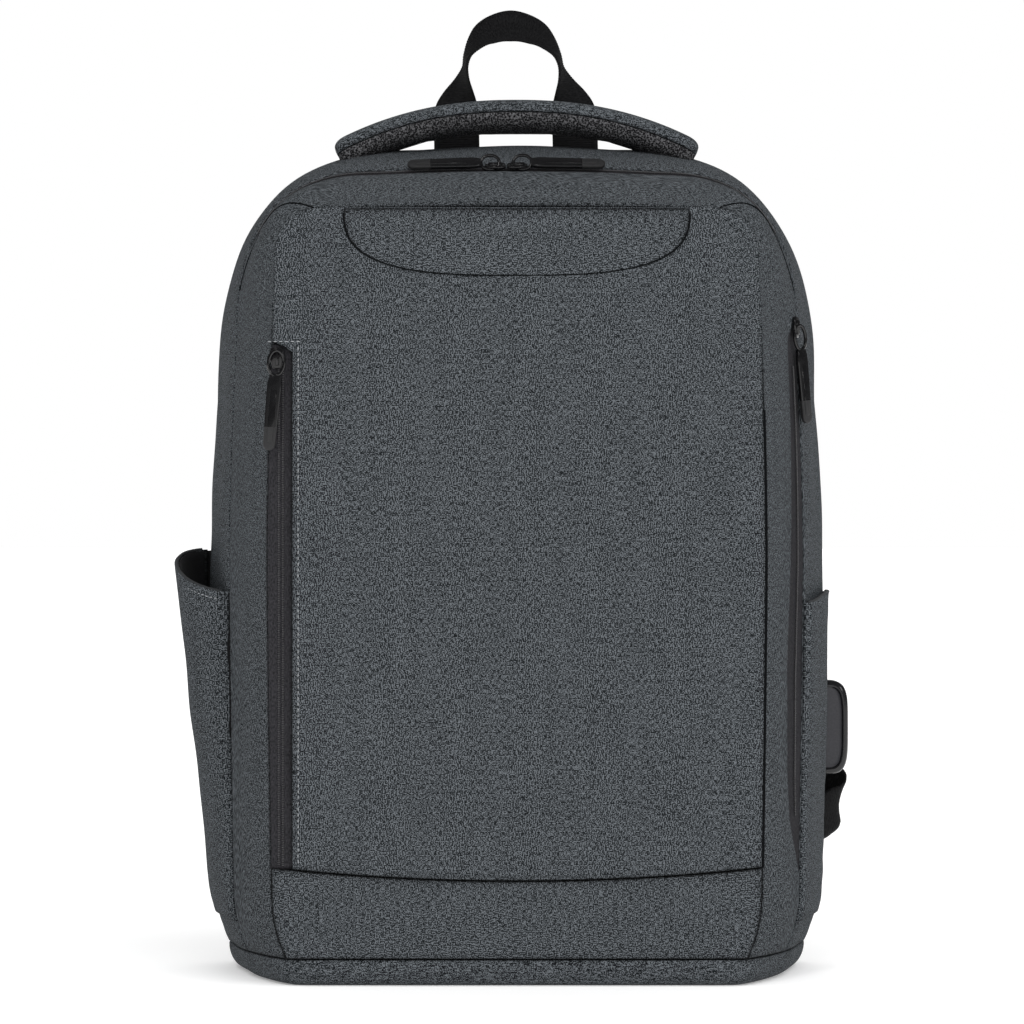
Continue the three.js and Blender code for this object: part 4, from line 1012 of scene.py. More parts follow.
def seam_zip(label, start, stop, taper, outward):
    def tape(u, v):
        way = even_way(start, stop, u)
        front = seam_depth(way)
        front = front - TAPE_UNDER_FRONT / BODY_DEPTH * smooth_step(front, SEAM_CLOSED, ZIP_FRONT)
        return body_point(mix(front, ZIP_REAR + TAPE_UNDER_REAR / BODY_DEPTH, v), way, -TAPE_SINK - TAPE_BACK)

    piece = flat_cloth(f"{label}_zip_tape_cloth", tape, tape_cloth, outward, 0.5 * MM)
    dress(piece, "zip_tape", f"{label}_zip_tape")
    way = even_way(start + taper, stop - taper, np.linspace(0, 1, 400))
    middle = (seam_depth(way) + ZIP_REAR) / 2
    points = body_point(middle, way, -TAPE_SINK)
    facing = body_point(middle, way, 1 * MM) - body_point(middle, way)
    facing /= np.linalg.norm(facing, axis=-1, keepdims=True)
    coil_on(f"{label}_zip_coil", points, facing)


for (start, stop, taper), label, outward in zip(SEAM_ZIPS, ("top", "right"), ((0, 0, 1), (1, 0, 0))):
    seam_zip(label, start, stop, taper, outward)

LEFT_ZIP_FOOT = float(band_seam(-FRONT_HALF))


def left_tape(u, v):
    z = mix(LEFT_ZIP_FOOT - 1 * MM, LEFT_ZIP_TOP + 1 * MM, v)
    x = mix(-edge_at(0.0, z) - 0.5 * MM, BESIDE_ZIP + 1.5 * MM, u)
    return np.stack([x, FRONT_Y + TAPE_SINK + 0 * x, z], axis=-1)


left_zip_tape = flat_cloth("left_zip_tape_cloth", left_tape, tape_cloth, (0, -1, 0), 0.5 * MM, grain="v")
dress(left_zip_tape, "zip_tape", "left_zip_tape")
LEFT_SLIDER_X = -124.6 * MM
LEFT_COIL_X = -122.7 * MM
heights = np.linspace(LEFT_ZIP_FOOT + 1 * MM, LEFT_ZIP_TOP - 2 * MM, 200)
left_line = np.stack([LEFT_COIL_X + 0 * heights, FRONT_Y + TAPE_SINK + 0 * heights, heights], axis=-1)
coil_on("left_zip_coil", left_line, np.array([0.0, -1.0, 0.0]))

# %% [markdown]
# Pale stitches hold the folded edge beside the upright zip. They are long beads, half sunk in the cloth.

# %% Zip stitches
STITCH_PITCH = 3.0 * MM
STITCH_SIZE = (2.1 * MM, 0.55 * MM, 0.4 * MM)
STITCH_INSET = 3.6 * MM


def stitches_on_front(name, x, z, thread):
    points = on_front(x, z)
    points[..., 1] -= 0.1 * MM
    return dress(beads_along(name, points, np.array([0.0, -1.0, 0.0]), thread, STITCH_PITCH, *STITCH_SIZE),
                 "heather_cloth")


line = np.linspace(LEFT_ZIP_FOOT + 3 * MM, LEFT_ZIP_TOP - 1 * MM, 120)
stitches_on_front("left_zip_stitches", BESIDE_ZIP + STITCH_INSET + 0 * line, line, pale_thread)
line = np.linspace(-FRONT_HALF + 2 * MM, BESIDE_ZIP + STITCH_INSET, 12)
stitches_on_front("left_zip_end_stitches", line, LEFT_ZIP_TOP + 2.6 * MM + 0 * line, pale_thread)

# %% [markdown]
# Sliders and pulls are gloss black metal, and a pull's tip is matte. A slider is a small rounded body,
# wider at its mouth. Its pull is a long flat tab with a groove, on an oval ring. They are drawn hanging
# down and facing the front, and a frame turns each one to where it lies on its zip.

# %% Sliders and pulls
PULL_WIDTH = 7.6 * MM
PULL_LENGTH = 38 * MM
PULL_THICK = 2.4 * MM
RING_LENGTH = 15 * MM
RING_WIDTH = 10 * MM
RING_WIRE = 1.8 * MM
SLIDER_LENGTH = 11 * MM
SLIDER_WIDTH = 8 * MM
SLIDER_HEIGHT = 3 * MM
TOP_PULL_SPACING = 17 * MM
TOP_PULLS_ASIDE = -5.5 * MM
LEFT_SLIDER_HEIGHT = 327 * MM
RIGHT_SLIDER_DOWN = 0.05
PULL_GLOSS = 0.68
TOP_PULL_ROLL = 25
TOP_RING_ROLL = 28
TOP_RING_LENGTH = 11.5 * MM
TOP_PULL_LIFT = 3.2 * MM
LEFT_PULL_LEAN = -5
RIGHT_PULL_LEAN = 5
RIGHT_PULL_TURN = -28
RIGHT_PULL_REST = 1.4 * MM


def mesh_from(name, build):
    shape = bmesh.new()
    build(shape)
    bmesh.ops.remove_doubles(shape, verts=shape.verts, dist=1e-6)
    bmesh.ops.recalc_face_normals(shape, faces=shape.faces)
    mesh = bpy.data.meshes.new(name)
    shape.to_mesh(mesh)
    shape.free()
    return all_smooth(mesh)


def plate(shape, outline, thickness, bevel, segments=3):
    """A plate with rounded edges from an outline of X and Z, its middle plane at Y = 0"""
    corners = [shape.verts.new((x, -thickness / 2, z)) for x, z in outline]
    face = shape.faces.new(corners)
    moved = bmesh.ops.extrude_face_region(shape, geom=[face])
    new = [item for item in moved["geom"] if isinstance(item, bmesh.types.BMVert)]
    bmesh.ops.translate(shape, verts=new, vec=(0, thickness, 0))
    group = set(corners) | set(new)
    rims = [edge for edge in shape.edges if edge.verts[0] in group and edge.verts[1] in group
            and abs(edge.verts[0].co.y - edge.verts[1].co.y) < 1e-7 and len(edge.link_faces) == 2]
    bmesh.ops.bevel(shape, geom=rims, offset=bevel, segments=segments, profile=0.5, affect="EDGES")


def round_end(half, centre, start, stop, count=10):
    angles = np.linspace(start, stop, count)
    return [(half * math.cos(a), centre + half * math.sin(a)) for a in angles]


def ring_tube(shape, width, length, wire, lift, roll, sides=10, count=28):
    """An oval ring above the origin, rolled about its long axis"""
    turn = Matrix.Rotation(math.radians(roll), 3, "Z")
    rows = []
    for i in range(count):
        a = 2 * math.pi * i / count
        middle = Vector(((width - wire) / 2 * math.cos(a), 0, (length - wire) / 2 * math.sin(a)))
        out = Vector((math.cos(a) / (width - wire), 0, math.sin(a) / (length - wire))).normalized()
        row = []
        for j in range(sides):
            b = 2 * math.pi * j / sides
            point = middle + (out * math.cos(b) + Vector((0, 1, 0)) * math.sin(b)) * wire / 2
            row.append(shape.verts.new(turn @ (point + Vector((0, 0, lift)))))
        rows.append(row)
    for i in range(count):
        for j in range(sides):
            a, b = rows[i], rows[(i + 1) % count]
            k = (j + 1) % sides
            shape.faces.new((a[j], b[j], b[k], a[k]))


def pull_build(roll, ring_length=RING_LENGTH):
    def build(shape):
        ring_tube(shape, RING_WIDTH, ring_length, RING_WIRE, ring_length / 2, roll)
        half, top = PULL_WIDTH / 2, RING_WIRE * 0.7
        end = round_end(half * 0.85, half * 0.85 - PULL_LENGTH, math.pi, 2 * math.pi)
        plate(shape, [(-half * 0.7, top), (-half * 0.95, -half * 0.5), (-half, -half * 1.6), *end,
                      (half, -half * 1.6), (half * 0.95, -half * 0.5), (half * 0.7, top)][::-1],
              PULL_THICK, PULL_THICK * 0.3)
        inner, foot = half * 0.42, half * 1.5 - PULL_LENGTH
        ridge = round_end(inner, foot, math.pi, 2 * math.pi, 7)
        rib = [(-inner, -half * 1.7), *ridge, (inner, -half * 1.7)][::-1]
        plate(shape, rib, PULL_THICK * 1.35, PULL_THICK * 0.15, 2)
        tip = -PULL_LENGTH * PULL_GLOSS
        bmesh.ops.bisect_plane(shape, geom=[*shape.verts, *shape.edges, *shape.faces], dist=1e-7,
                               plane_co=(0, 0, tip), plane_no=(0, 0, 1))
        for face in shape.faces:
            face.material_index = int(face.calc_center_median().z < tip)
    return build


def slider_build(shape):
    half, length = SLIDER_WIDTH / 2, SLIDER_LENGTH / 2
    body = [(-half * 0.55, -length), (half * 0.55, -length), (half * 0.9, -length * 0.2), (half, length * 0.5),
            (half * 0.7, length), (-half * 0.7, length), (-half, length * 0.5), (-half * 0.9, -length * 0.2)]
    plate(shape, body, SLIDER_HEIGHT * 0.55, SLIDER_HEIGHT * 0.2)
    bmesh.ops.translate(shape, verts=shape.verts, vec=(0, SLIDER_HEIGHT * 0.2, 0))
    bridge = [(-half * 0.28, -length * 0.7), (half * 0.28, -length * 0.7), (half * 0.28, length * 0.7),
              (-half * 0.28, length * 0.7)]
    plate(shape, bridge, SLIDER_HEIGHT * 0.95, SLIDER_HEIGHT * 0.25)


def seat(name, mesh, at, face, up, node):
    """Sets a piece drawn facing the front on a surface that faces another way"""
    depth_axis = -face.normalized()
    up_axis = (up - depth_axis * up.dot(depth_axis)).normalized()
    across_axis = depth_axis.cross(up_axis)
    turn = Matrix((across_axis, depth_axis, up_axis)).transposed().to_4x4()
    mesh.transform(Matrix.Translation(at) @ turn)
    piece = add_object(name, mesh, gloss_black, pull_tip)
    return dress(piece, "gloss_black", node)


def zip_hardware(label, at, face, up, rest, lean, turn, ring_offset):
    slider, pull = f"{label}_zip_slider", f"{label}_pull"
    slider_at = at + face * (GAP + SLIDER_HEIGHT / 2)
    seat(slider + "_metal", mesh_from(slider, slider_build), slider_at, face, up, slider)
    turned = Matrix.Rotation(math.radians(turn), 3, up) @ face
    leaned = Matrix.Rotation(math.radians(lean), 3, turned) @ up
    start = at + face * (rest + GAP + PULL_THICK / 2) + leaned * (ring_offset - RING_LENGTH / 2)
    seat(pull + "_metal", mesh_from(pull, pull_build(0)), start, turned, leaned, pull)


def top_hardware(side, label):
    """The top zip's sliders meet in the middle, and their pulls lie outwards, leaning to the front"""
    middle = TOP_PULLS_ASIDE + side * (SLIDER_LENGTH / 2 + GAP)
    at, face, up = seam_place(middle / crown_half, -side)
    slider, pull = f"top_zip_slider_{label}", f"top_pull_{label}"
    slider_at = at + face * (GAP + SLIDER_HEIGHT / 2)
    seat(slider + "_metal", mesh_from(slider, slider_build), slider_at, face, up, slider)
    ring = TOP_PULLS_ASIDE + side * TOP_PULL_SPACING / 2
    at, face, up = seam_place((ring + side * PULL_LENGTH * 0.6) / crown_half, -side)
    at = seam_place(ring / crown_half, -side)[0]
    roll = -side * TOP_PULL_ROLL
    leaned = Matrix.Rotation(math.radians(roll), 3, up) @ face
    start = at + face * TOP_PULL_LIFT - up * TOP_RING_LENGTH / 2
    mesh = mesh_from(pull, pull_build(-side * TOP_RING_ROLL, TOP_RING_LENGTH))
    seat(pull + "_metal", mesh, start, leaned, up, pull)


def seam_place(way, towards):
    depth, step = (ZIP_FRONT + ZIP_REAR) / 2, 0.02
    along = Vector(body_point(depth, way + step) - body_point(depth, way - step)).normalized()
    back = Vector(body_point(depth + step, way) - body_point(depth - step, way)).normalized()
    return Vector(body_point(depth, way)), along.cross(back).normalized(), along * towards


flat_depth = (ZIP_FRONT + ZIP_REAR) / 2
crown_half = (section("wide", flat_depth) - section("corner_wide", flat_depth)) * HALF_WIDTH - SHOULDER_DRAW
for side, label in SIDES:
    top_hardware(side, label)
zip_hardware("right", *seam_place(SEAM_ZIPS[1][0] + RIGHT_SLIDER_DOWN, -1), RIGHT_PULL_REST,
             RIGHT_PULL_LEAN, RIGHT_PULL_TURN, -SLIDER_LENGTH / 2)
left_place = Vector((LEFT_SLIDER_X, FRONT_Y, LEFT_SLIDER_HEIGHT))
zip_hardware("left", left_place, Vector((0, -1, 0)), Vector((0, 0, 1)),
             GAP + SLIDER_HEIGHT, LEFT_PULL_LEAN, 0, -SLIDER_LENGTH / 4)

# %% [markdown]
# A side pocket is a panel that is sewn to the gusset along three sides and stands away from it at its rim.
# The left one gapes, so its dark lining shows. The rim has a narrow binding, and the left rim a row of stitches
# under it.

# %% Side pockets
POCKET_FOOT = 30 * MM
PORT_DEPTH, PORT_BACK, PORT_ASIDE = 20 * MM, 4 * MM, 5.4 * MM
POCKET_FRONT = ZIP_REAR - 0.2 * MM / BODY_DEPTH
POCKET_REAR = 1 - (PORT_BACK + PORT_DEPTH + PORT_ASIDE) / BODY_DEPTH
POCKET_WALL = 1.6 * MM
LINING_WALL = 1 * MM
LINING_HEIGHT = 75 * MM
BINDING_RADIUS = 0.9 * MM
POCKETS = (
    # side, name, bulge, rim, rise, shares where the rim starts and stops to rise
    (-1, "left", 20 * MM, 201 * MM, 26 * MM, -0.35, 1.1),
    (1, "right", 3.2 * MM, 197 * MM, 7 * MM, -0.35, 0.75),
)


def pocket_surface(side, bulge, rim, rise, low, high, out, foot=0.0):
    def surface(u, v):
        depth = mix(POCKET_FRONT, POCKET_REAR, u)
        up = mix(foot, 1.0, v)
        z = mix(POCKET_FOOT, rim + rise * smooth_step(u, low, high), up)
        swell = bulge * np.maximum(np.sin(math.pi * u), 0) ** 0.6 * up ** 0.9
        start = smooth_step(u, -0.01, 0.03)
        return np.stack([side * (edge_at(depth, z) + GAP + swell + out * start), depth_y(depth), z], axis=-1)
    return surface


def facing_of(surface, u, v, outward):
    """Which way a surface faces along a line of shares"""
    normal = across_surface(surface, u, v, 1e-3)
    normal /= np.linalg.norm(normal, axis=-1, keepdims=True)
    return normal * np.sign(np.sum(normal * np.asarray(outward), axis=-1, keepdims=True))


def declare_sheet(surface):
    """Samples a pocket piece's surface and works out its lengths both ways; nothing is kept"""
    share = np.linspace(0, 1, 61)
    points = surface(*np.meshgrid(share, share, indexing="ij"))
    u, v = surface_lengths(points)


HEM_DEPTH = 4.0 * MM
for side, label, bulge, rim, rise, low, high in POCKETS:
    surface = pocket_surface(side, bulge, rim, rise, low, high, POCKET_WALL)
    pocket = sewn_panel(f"{label}_pocket_cloth", surface, heather_cloth, (side, 0, 0), grain="v",
                        rolls=(False, True, True, False), step=2.5 * MM, seed=30 + side,
                         coarse_across=0.65)
    pocket.modifiers["cloth thickness"].thickness = POCKET_WALL
    dress(pocket, "heather_cloth", f"{label}_pocket")
    share = np.linspace(0.015, 0.985, 80)
    top_line = surface(share, 1.0 + 0 * share)
    facing = facing_of(surface, share, 0.99 + 0 * share, (side, 0, 0))
    middle_line = top_line - facing * POCKET_WALL / 2
    binding = tube_along(f"{label}_pocket_binding", middle_line, BINDING_RADIUS, binding_cloth)
    dress(binding, "zip_tape")
    declare_sheet(surface)
    if label == "left":
        share = np.linspace(0.03, 0.97, 80)
        level = 1 - HEM_DEPTH / (rim - POCKET_FOOT)
        points = surface(share, level + 0 * share)
        facing = facing_of(surface, share, level + 0 * share, (side, 0, 0))
        stitches = beads_along("left_pocket_stitches", points + facing * 0.1 * MM, facing, pale_thread,
                               STITCH_PITCH, *STITCH_SIZE)
        dress(stitches, "heather_cloth")
        foot = 1 - LINING_HEIGHT / (rim - POCKET_FOOT)
        inner = pocket_surface(side, bulge, rim - 0.5 * MM, rise, low, high, -0.4 * MM, foot)
        lining = flat_cloth("left_pocket_lining_cloth", inner, lining_cloth, (side, 0, 0), LINING_WALL * 0.6,
                            3 * MM)
        dress(lining, "zip_tape", "left_pocket_lining")
        declare_sheet(inner)

# %% [markdown]
# The bottom is a shallow tray of the same cloth. Its side curls under in one soft curve, and the underside
# is flat.

# %% Bottom panel
TRAY_SIDE = 12 * MM
TRAY_COUNT = 220


def plan_outline(count):
    """The body's plan outline at the foot, evenly spaced, with the front and back edges slightly rounded"""
    depths = np.linspace(0.0, 1.0, 60)
    right = np.stack([edge_at(depths, WALL_FOOT), depth_y(depths)], axis=-1)
    front = np.stack([np.linspace(-right[0, 0], right[0, 0], 40)[1:-1], np.full(38, FRONT_Y)], axis=-1)
    back = np.stack([np.linspace(right[-1, 0], -right[-1, 0], 40)[1:-1], np.full(38, BACK_Y)], axis=-1)
    left = right[::-1] * (-1, 1)
    ring = np.concatenate([front, right, back, left])
    for _ in range(6):
        ring = (np.roll(ring, 1, axis=0) + 2 * ring + np.roll(ring, -1, axis=0)) / 4
    closed = np.concatenate([ring, ring[:1]])
    lengths = lengths_along(closed)
    places = np.linspace(0, lengths[-1], count, endpoint=False)
    return np.stack([np.interp(places, lengths, closed[:, axis]) for axis in (0, 1)], axis=-1)


def bottom_tray():
    plan = plan_outline(TRAY_COUNT)
    ahead = np.roll(plan, -1, axis=0) - np.roll(plan, 1, axis=0)
    outward = np.stack([ahead[:, 1], -ahead[:, 0]], axis=-1)
    outward /= np.linalg.norm(outward, axis=-1, keepdims=True)
    rows = [(SEAM_RADIUS + SEAM_ALLOWANCE, TRAY_RIM), (SEAM_RADIUS, TRAY_RIM)]
    for angle in np.linspace(0.25, 1, 4) * math.pi / 2:
        rows.append((SEAM_RADIUS * (1 - math.sin(angle)), TRAY_RIM - SEAM_RADIUS * (1 - math.cos(angle))))
    for angle in np.linspace(0.08, 1, 12) * math.pi / 2:
        height = (TRAY_RIM - SEAM_RADIUS) * (1 - math.sin(angle) ** 1.1)
        rows.append((TRAY_SIDE * (1 - math.cos(angle) ** 0.75), height))
    rows += [(inset * MM, 0.0) for inset in (20, 35, 50, 62)]
    grid = []
    for inset, height in rows:
        ring = plan - outward * inset
        grid.append(np.column_stack([ring, np.full(len(ring), height)]))
    middle = np.array([[0, (FRONT_Y + BACK_Y) / 2, 0.0]])
    grid.append(np.repeat(middle, TRAY_COUNT, axis=0) + (grid[-1] - middle) * 0.02)
    points = np.array(grid)
    side = (points[..., 2] > 1 * MM)[..., None]
    level = np.concatenate([outward, 0 * outward[:, :1]], axis=-1)
    wobble = waves(points, 60 * MM, 71)[..., None] * level[None]
    points = points + np.where(side, wobble * 0.3 * MM, 0)
    return add_object("bottom_cloth", capped_grid("bottom_cloth", points, below=1 * MM), heather_along_x)


bottom = bottom_tray()
dress(bottom, "heather_cloth", "bottom_panel")

# %% [markdown]
# Straps, webbing and the handle are all a section carried along a line. The helper below samples a smooth
# curve through a few route points, as the model does, and keeps a frame of three directions at each place.

# %% Carried sections
def smooth_route(points, count):
    """Evenly spaced points on a centripetal Catmull-Rom curve through the route, and their share of the way"""
    points = np.asarray(points, float)
    ends = np.concatenate([[2 * points[0] - points[1]], points, [2 * points[-1] - points[-2]]])
    dense, shares = [], []
    for i in range(1, len(ends) - 2):
        p = ends[i - 1:i + 3]
        spans = np.maximum(np.linalg.norm(np.diff(p, axis=0), axis=-1), 1e-9)
        knots = np.concatenate([[0], np.cumsum(np.sqrt(spans))])
        t = np.linspace(knots[1], knots[2], 40, endpoint=i == len(ends) - 3)[:, None]
        a = [(knots[k + 1] - t) / (knots[k + 1] - knots[k]) * p[k]
             + (t - knots[k]) / (knots[k + 1] - knots[k]) * p[k + 1] for k in range(3)]
        b = [(knots[k + 2] - t) / (knots[k + 2] - knots[k]) * a[k]
             + (t - knots[k]) / (knots[k + 2] - knots[k]) * a[k + 1] for k in range(2)]
        c = (knots[2] - t) / (knots[2] - knots[1]) * b[0] + (t - knots[1]) / (knots[2] - knots[1]) * b[1]
        dense.append(c)
        shares.append((i - 1 + (t[:, 0] - knots[1]) / (knots[2] - knots[1])) / (len(points) - 1))
    dense, shares = np.concatenate(dense), np.concatenate(shares)
    lengths = lengths_along(dense)
    places = np.linspace(0, lengths[-1], count)
    even = np.stack([np.interp(places, lengths, dense[:, axis]) for axis in range(3)], axis=-1)
    return even, np.interp(places, lengths, shares), places


def unit(vectors):
    return vectors / np.maximum(np.linalg.norm(vectors, axis=-1, keepdims=True), 1e-12)


def carry(name, centre, across, section_points, lengths, material):
    """A closed mesh from a section at each point of a line; the section gives pairs of across and up"""
    tangent = unit(np.gradient(centre, axis=0))
    across = unit(across - tangent * np.sum(across * tangent, axis=-1, keepdims=True))
    up = np.cross(across, tangent)
    grid = centre[:, None] + across[:, None] * section_points[..., :1] + up[:, None] * section_points[..., 1:]
    girth = lengths_along(section_points[len(centre) // 2])
    weave = np.stack(np.broadcast_arrays(girth[None, :], lengths[:, None]), axis=-1)
    return add_object(name, capped_grid(name, grid, weave), material)


WEB_WIDTH = 25 * MM
WEB_THICK = 1.8 * MM
RIB_PITCH = 1.25 * MM
RIB_HEIGHT = 0.22 * MM


def web_section(lengths, count=15):
    """The section of a ribbed web at each length: flat faces that swell at each rib, and rounded edges"""
    rib = RIB_HEIGHT * (np.abs(np.sin(math.pi * lengths / RIB_PITCH)) - 0.5)
    flat = np.linspace(-1, 1, count)
    half, thick = WEB_WIDTH / 2, WEB_THICK / 2 - RIB_HEIGHT / 2
    edge = np.sqrt(np.maximum(1 - np.maximum(np.abs(flat) * half - half + thick, 0) ** 2 / thick ** 2, 0))
    top = np.stack(np.broadcast_arrays(flat * half, edge * thick + rib[:, None] * (edge > 0.2)), axis=-1)
    return np.concatenate([top, top[:, -2:0:-1] * (1, -1)], axis=1)


# %% [markdown]
# The haul loop is one length of webbing. Its two feet are sewn behind the bag's top edge, and the loop
# twists a little on its way up, so that its face shows at the apex.

# %% Haul loop
BACK_EDGE = 4 * MM
BACK_PAD = 8 * MM
LOOP_HEIGHT = 75 * MM
LOOP_WIDTH = 60 * MM
LOOP_FOOT = 14 * MM
LOOP_SKEW = -3 * MM
LOOP_ROUTE = np.array((
    # out, up, twist in degrees from facing the front
    (1.09, 0.00, 0),
    (1.09, 0.30, 0),
    (1.08, 0.50, 6),
    (1.03, 0.61, 40),
    (0.95, 0.72, 72),
    (0.88, 0.80, 86),
    (0.80, 0.88, 78),
    (0.48, 1.00, 50),
    (0.00, 1.048, 40),
))


def back_padding(x, z):
    across = np.abs(x) / (section("wide", 1.0) * HALF_WIDTH)
    up = np.abs(2 * z / (section("high", 1.0) * BODY_HEIGHT) - 1)
    channel = 1 - 0.6 * np.exp(-(x / (WEB_WIDTH / 2)) ** 2)
    return BACK_PAD * np.maximum((1 - across ** 4) * (1 - up ** 4), 0) * channel


def haul_loop():
    foot_z = section("high", 1.0) * BODY_HEIGHT - LOOP_FOOT
    half = LOOP_WIDTH / 2
    y = BACK_Y + 2 * GAP + BACK_EDGE + back_padding(half, foot_z) + WEB_THICK / 2
    rise = LOOP_HEIGHT + LOOP_FOOT
    rows = np.concatenate([LOOP_ROUTE * (-1, 1, 1), (LOOP_ROUTE[:-1])[::-1]])
    skewed = rows[:, 0] * half + LOOP_SKEW * rows[:, 1] ** 2
    route = np.stack([skewed, np.full(len(rows), y), foot_z + rows[:, 1] * rise], axis=-1)
    centre, share, lengths = smooth_route(route, 760)
    twist = np.radians(np.interp(share * (len(rows) - 1), np.arange(len(rows)), rows[:, 2]))
    for _ in range(120):
        twist[1:-1] = (twist[:-2] + 2 * twist[1:-1] + twist[2:]) / 4
    tangent = unit(np.gradient(centre, axis=0))
    outward = np.stack([-tangent[:, 2], 0 * twist, tangent[:, 0]], axis=-1)
    across = outward * np.cos(twist)[:, None] + np.array([0, 1, 0]) * np.sin(twist)[:, None]
    return carry("haul_loop_web", centre, across, web_section(lengths), lengths, webbing)


dress(haul_loop(), "black_webbing", "haul_loop")

# %% [markdown]
# The carry handle is padded: heather cloth over the top and spacer mesh under it, sewn together along the
# sides. Both halves are a half section carried along the same arch, and they puff out a little between
# their seams.

# %% Carry handle
HANDLE_SPAN = 196 * MM
HANDLE_DROP = 22.4 * MM
HANDLE_POWER = 2.3
HANDLE_THICK = 17 * MM
HANDLE_DEPTH = 34 * MM
HANDLE_SETBACK = 22 * MM
HANDLE_CLEAR = 7 * MM
HANDLE_SPLIT = 0.57
HANDLE_CREST = section("high", 0.8) * BODY_HEIGHT + CROWN + HANDLE_CLEAR + HANDLE_THICK / 2
HANDLE_ROWS = 112
HANDLE_PUFF = 25
HANDLE_END = 9 * MM


def handle_half(name, upper, material, node):
    t = np.linspace(-1, 1, HANDLE_ROWS)
    share = t * (1.38 - 0.38 * t ** 2)
    centre = np.stack([share * (HANDLE_SPAN / 2 - 1.5 * MM), HANDLE_SETBACK + 0 * share,
                       HANDLE_CREST - HANDLE_DROP * np.abs(share) ** HANDLE_POWER], axis=-1)
    lengths = lengths_along(centre)
    close = np.clip(1 - (lengths[-1] / 2 - np.abs(lengths - lengths[-1] / 2)) / HANDLE_END, 0, 1)
    ends = 0.3 + 0.7 * (1 - close ** 2.6) ** (1 / 2.6)
    split = HANDLE_THICK * (HANDLE_SPLIT - 0.5)
    angle = np.linspace(0, math.pi, HANDLE_PUFF)
    power = 0.62
    across = np.sign(np.cos(angle)) * np.abs(np.cos(angle)) ** power * HANDLE_DEPTH / 2
    puff = np.abs(np.sin(angle)) ** power
    thick = (HANDLE_THICK / 2 - split) if upper else (HANDLE_THICK / 2 + split)
    up = split + (1 if upper else -1) * (GAP / 2 + puff * (thick - GAP / 2))
    inside = np.linspace(-0.9, 0.9, 7) * HANDLE_DEPTH / 2
    across = np.concatenate([across, inside])
    up = np.concatenate([up, np.full(7, split + (1 if upper else -1) * GAP / 2)])
    section_points = np.stack([ends[:, None] * across[None], ends[:, None] * up[None]], axis=-1)
    direction = np.broadcast_to(np.array([0.0, -1.0, 0.0]), centre.shape)
    piece = carry(name, centre, direction, section_points, lengths, material)
    return dress(piece, "heather_cloth" if upper else "spacer_mesh", node)


handle_top = handle_half("carry_handle_cloth", True, heather_along_x, "carry_handle_top")
handle_under = handle_half("carry_handle_underside", False, spacer_mesh, "carry_handle_mesh")

# %% [markdown]
# The charging port is a rubber housing that stands out of the side behind the right pocket. It is drawn as
# rings with rounded corners, from the middle of its face over a raised glossy rim to its back.

# %% Charging port
PORT_HEIGHT = 51 * MM
PORT_OUT = 14 * MM
PORT_FOOT = 104 * MM
PORT_ROWS = (
    # inset of the ring, depth from the face
    (13.8, 1.1), (10.0, 1.1), (5.0, 1.0), (3.6, 0.8), (3.1, 0.15), (2.4, 0.0), (1.3, 0.2), (0.5, 0.9),
    (0.0, 2.4), (0.0, 17.4), (0.5, 18.9), (1.6, 19.8), (4.0, 20.0), (13.8, 20.0))
PORT_RIM = range(3, 8)


def port_ring(inset, count=56, power=4.2):
    turn = np.linspace(0, 2 * math.pi, count, endpoint=False)
    wide, high = PORT_OUT - inset, PORT_HEIGHT / 2 - inset
    x = wide * np.sign(np.cos(turn)) * np.abs(np.cos(turn)) ** (2 / power)
    z = high * np.sign(np.sin(turn)) * np.abs(np.sin(turn)) ** (2 / power)
    return np.stack([HALF_WIDTH + x, 0 * x, PORT_FOOT + PORT_HEIGHT / 2 + z], axis=-1)


def charging_port():
    face_y = BACK_Y - PORT_BACK - PORT_DEPTH
    grid = np.array([port_ring(inset * MM) + (0, face_y + depth * MM, 0) for inset, depth in PORT_ROWS])
    mesh = capped_grid("charging_port_housing", grid)
    piece = add_object("charging_port_housing", mesh, rubber, gloss_rubber)
    rim = [row in PORT_RIM for row in range(len(PORT_ROWS) - 1) for _ in range(grid.shape[1])]
    caps = [False] * (len(mesh.polygons) - len(rim))
    mesh.polygons.foreach_set("material_index", np.array(rim + caps, np.int32))
    return dress(piece, "black_plastic", "charging_port")


charging_port()

# %% [markdown]
# Padding is blown up with Cloth pressure, the way stuffing fills a sewn cover. The seams are held by a
# vertex group, gravity is off, and each point may move only so far. The moved points go back into the mesh,
# so no Cloth stays.

# %% Padding
PAD_PRESSURE = 4.0
PAD_FRAMES = 20
HANDLE_SWELL = 1.6 * MM
PAD_SWELL = 5 * MM


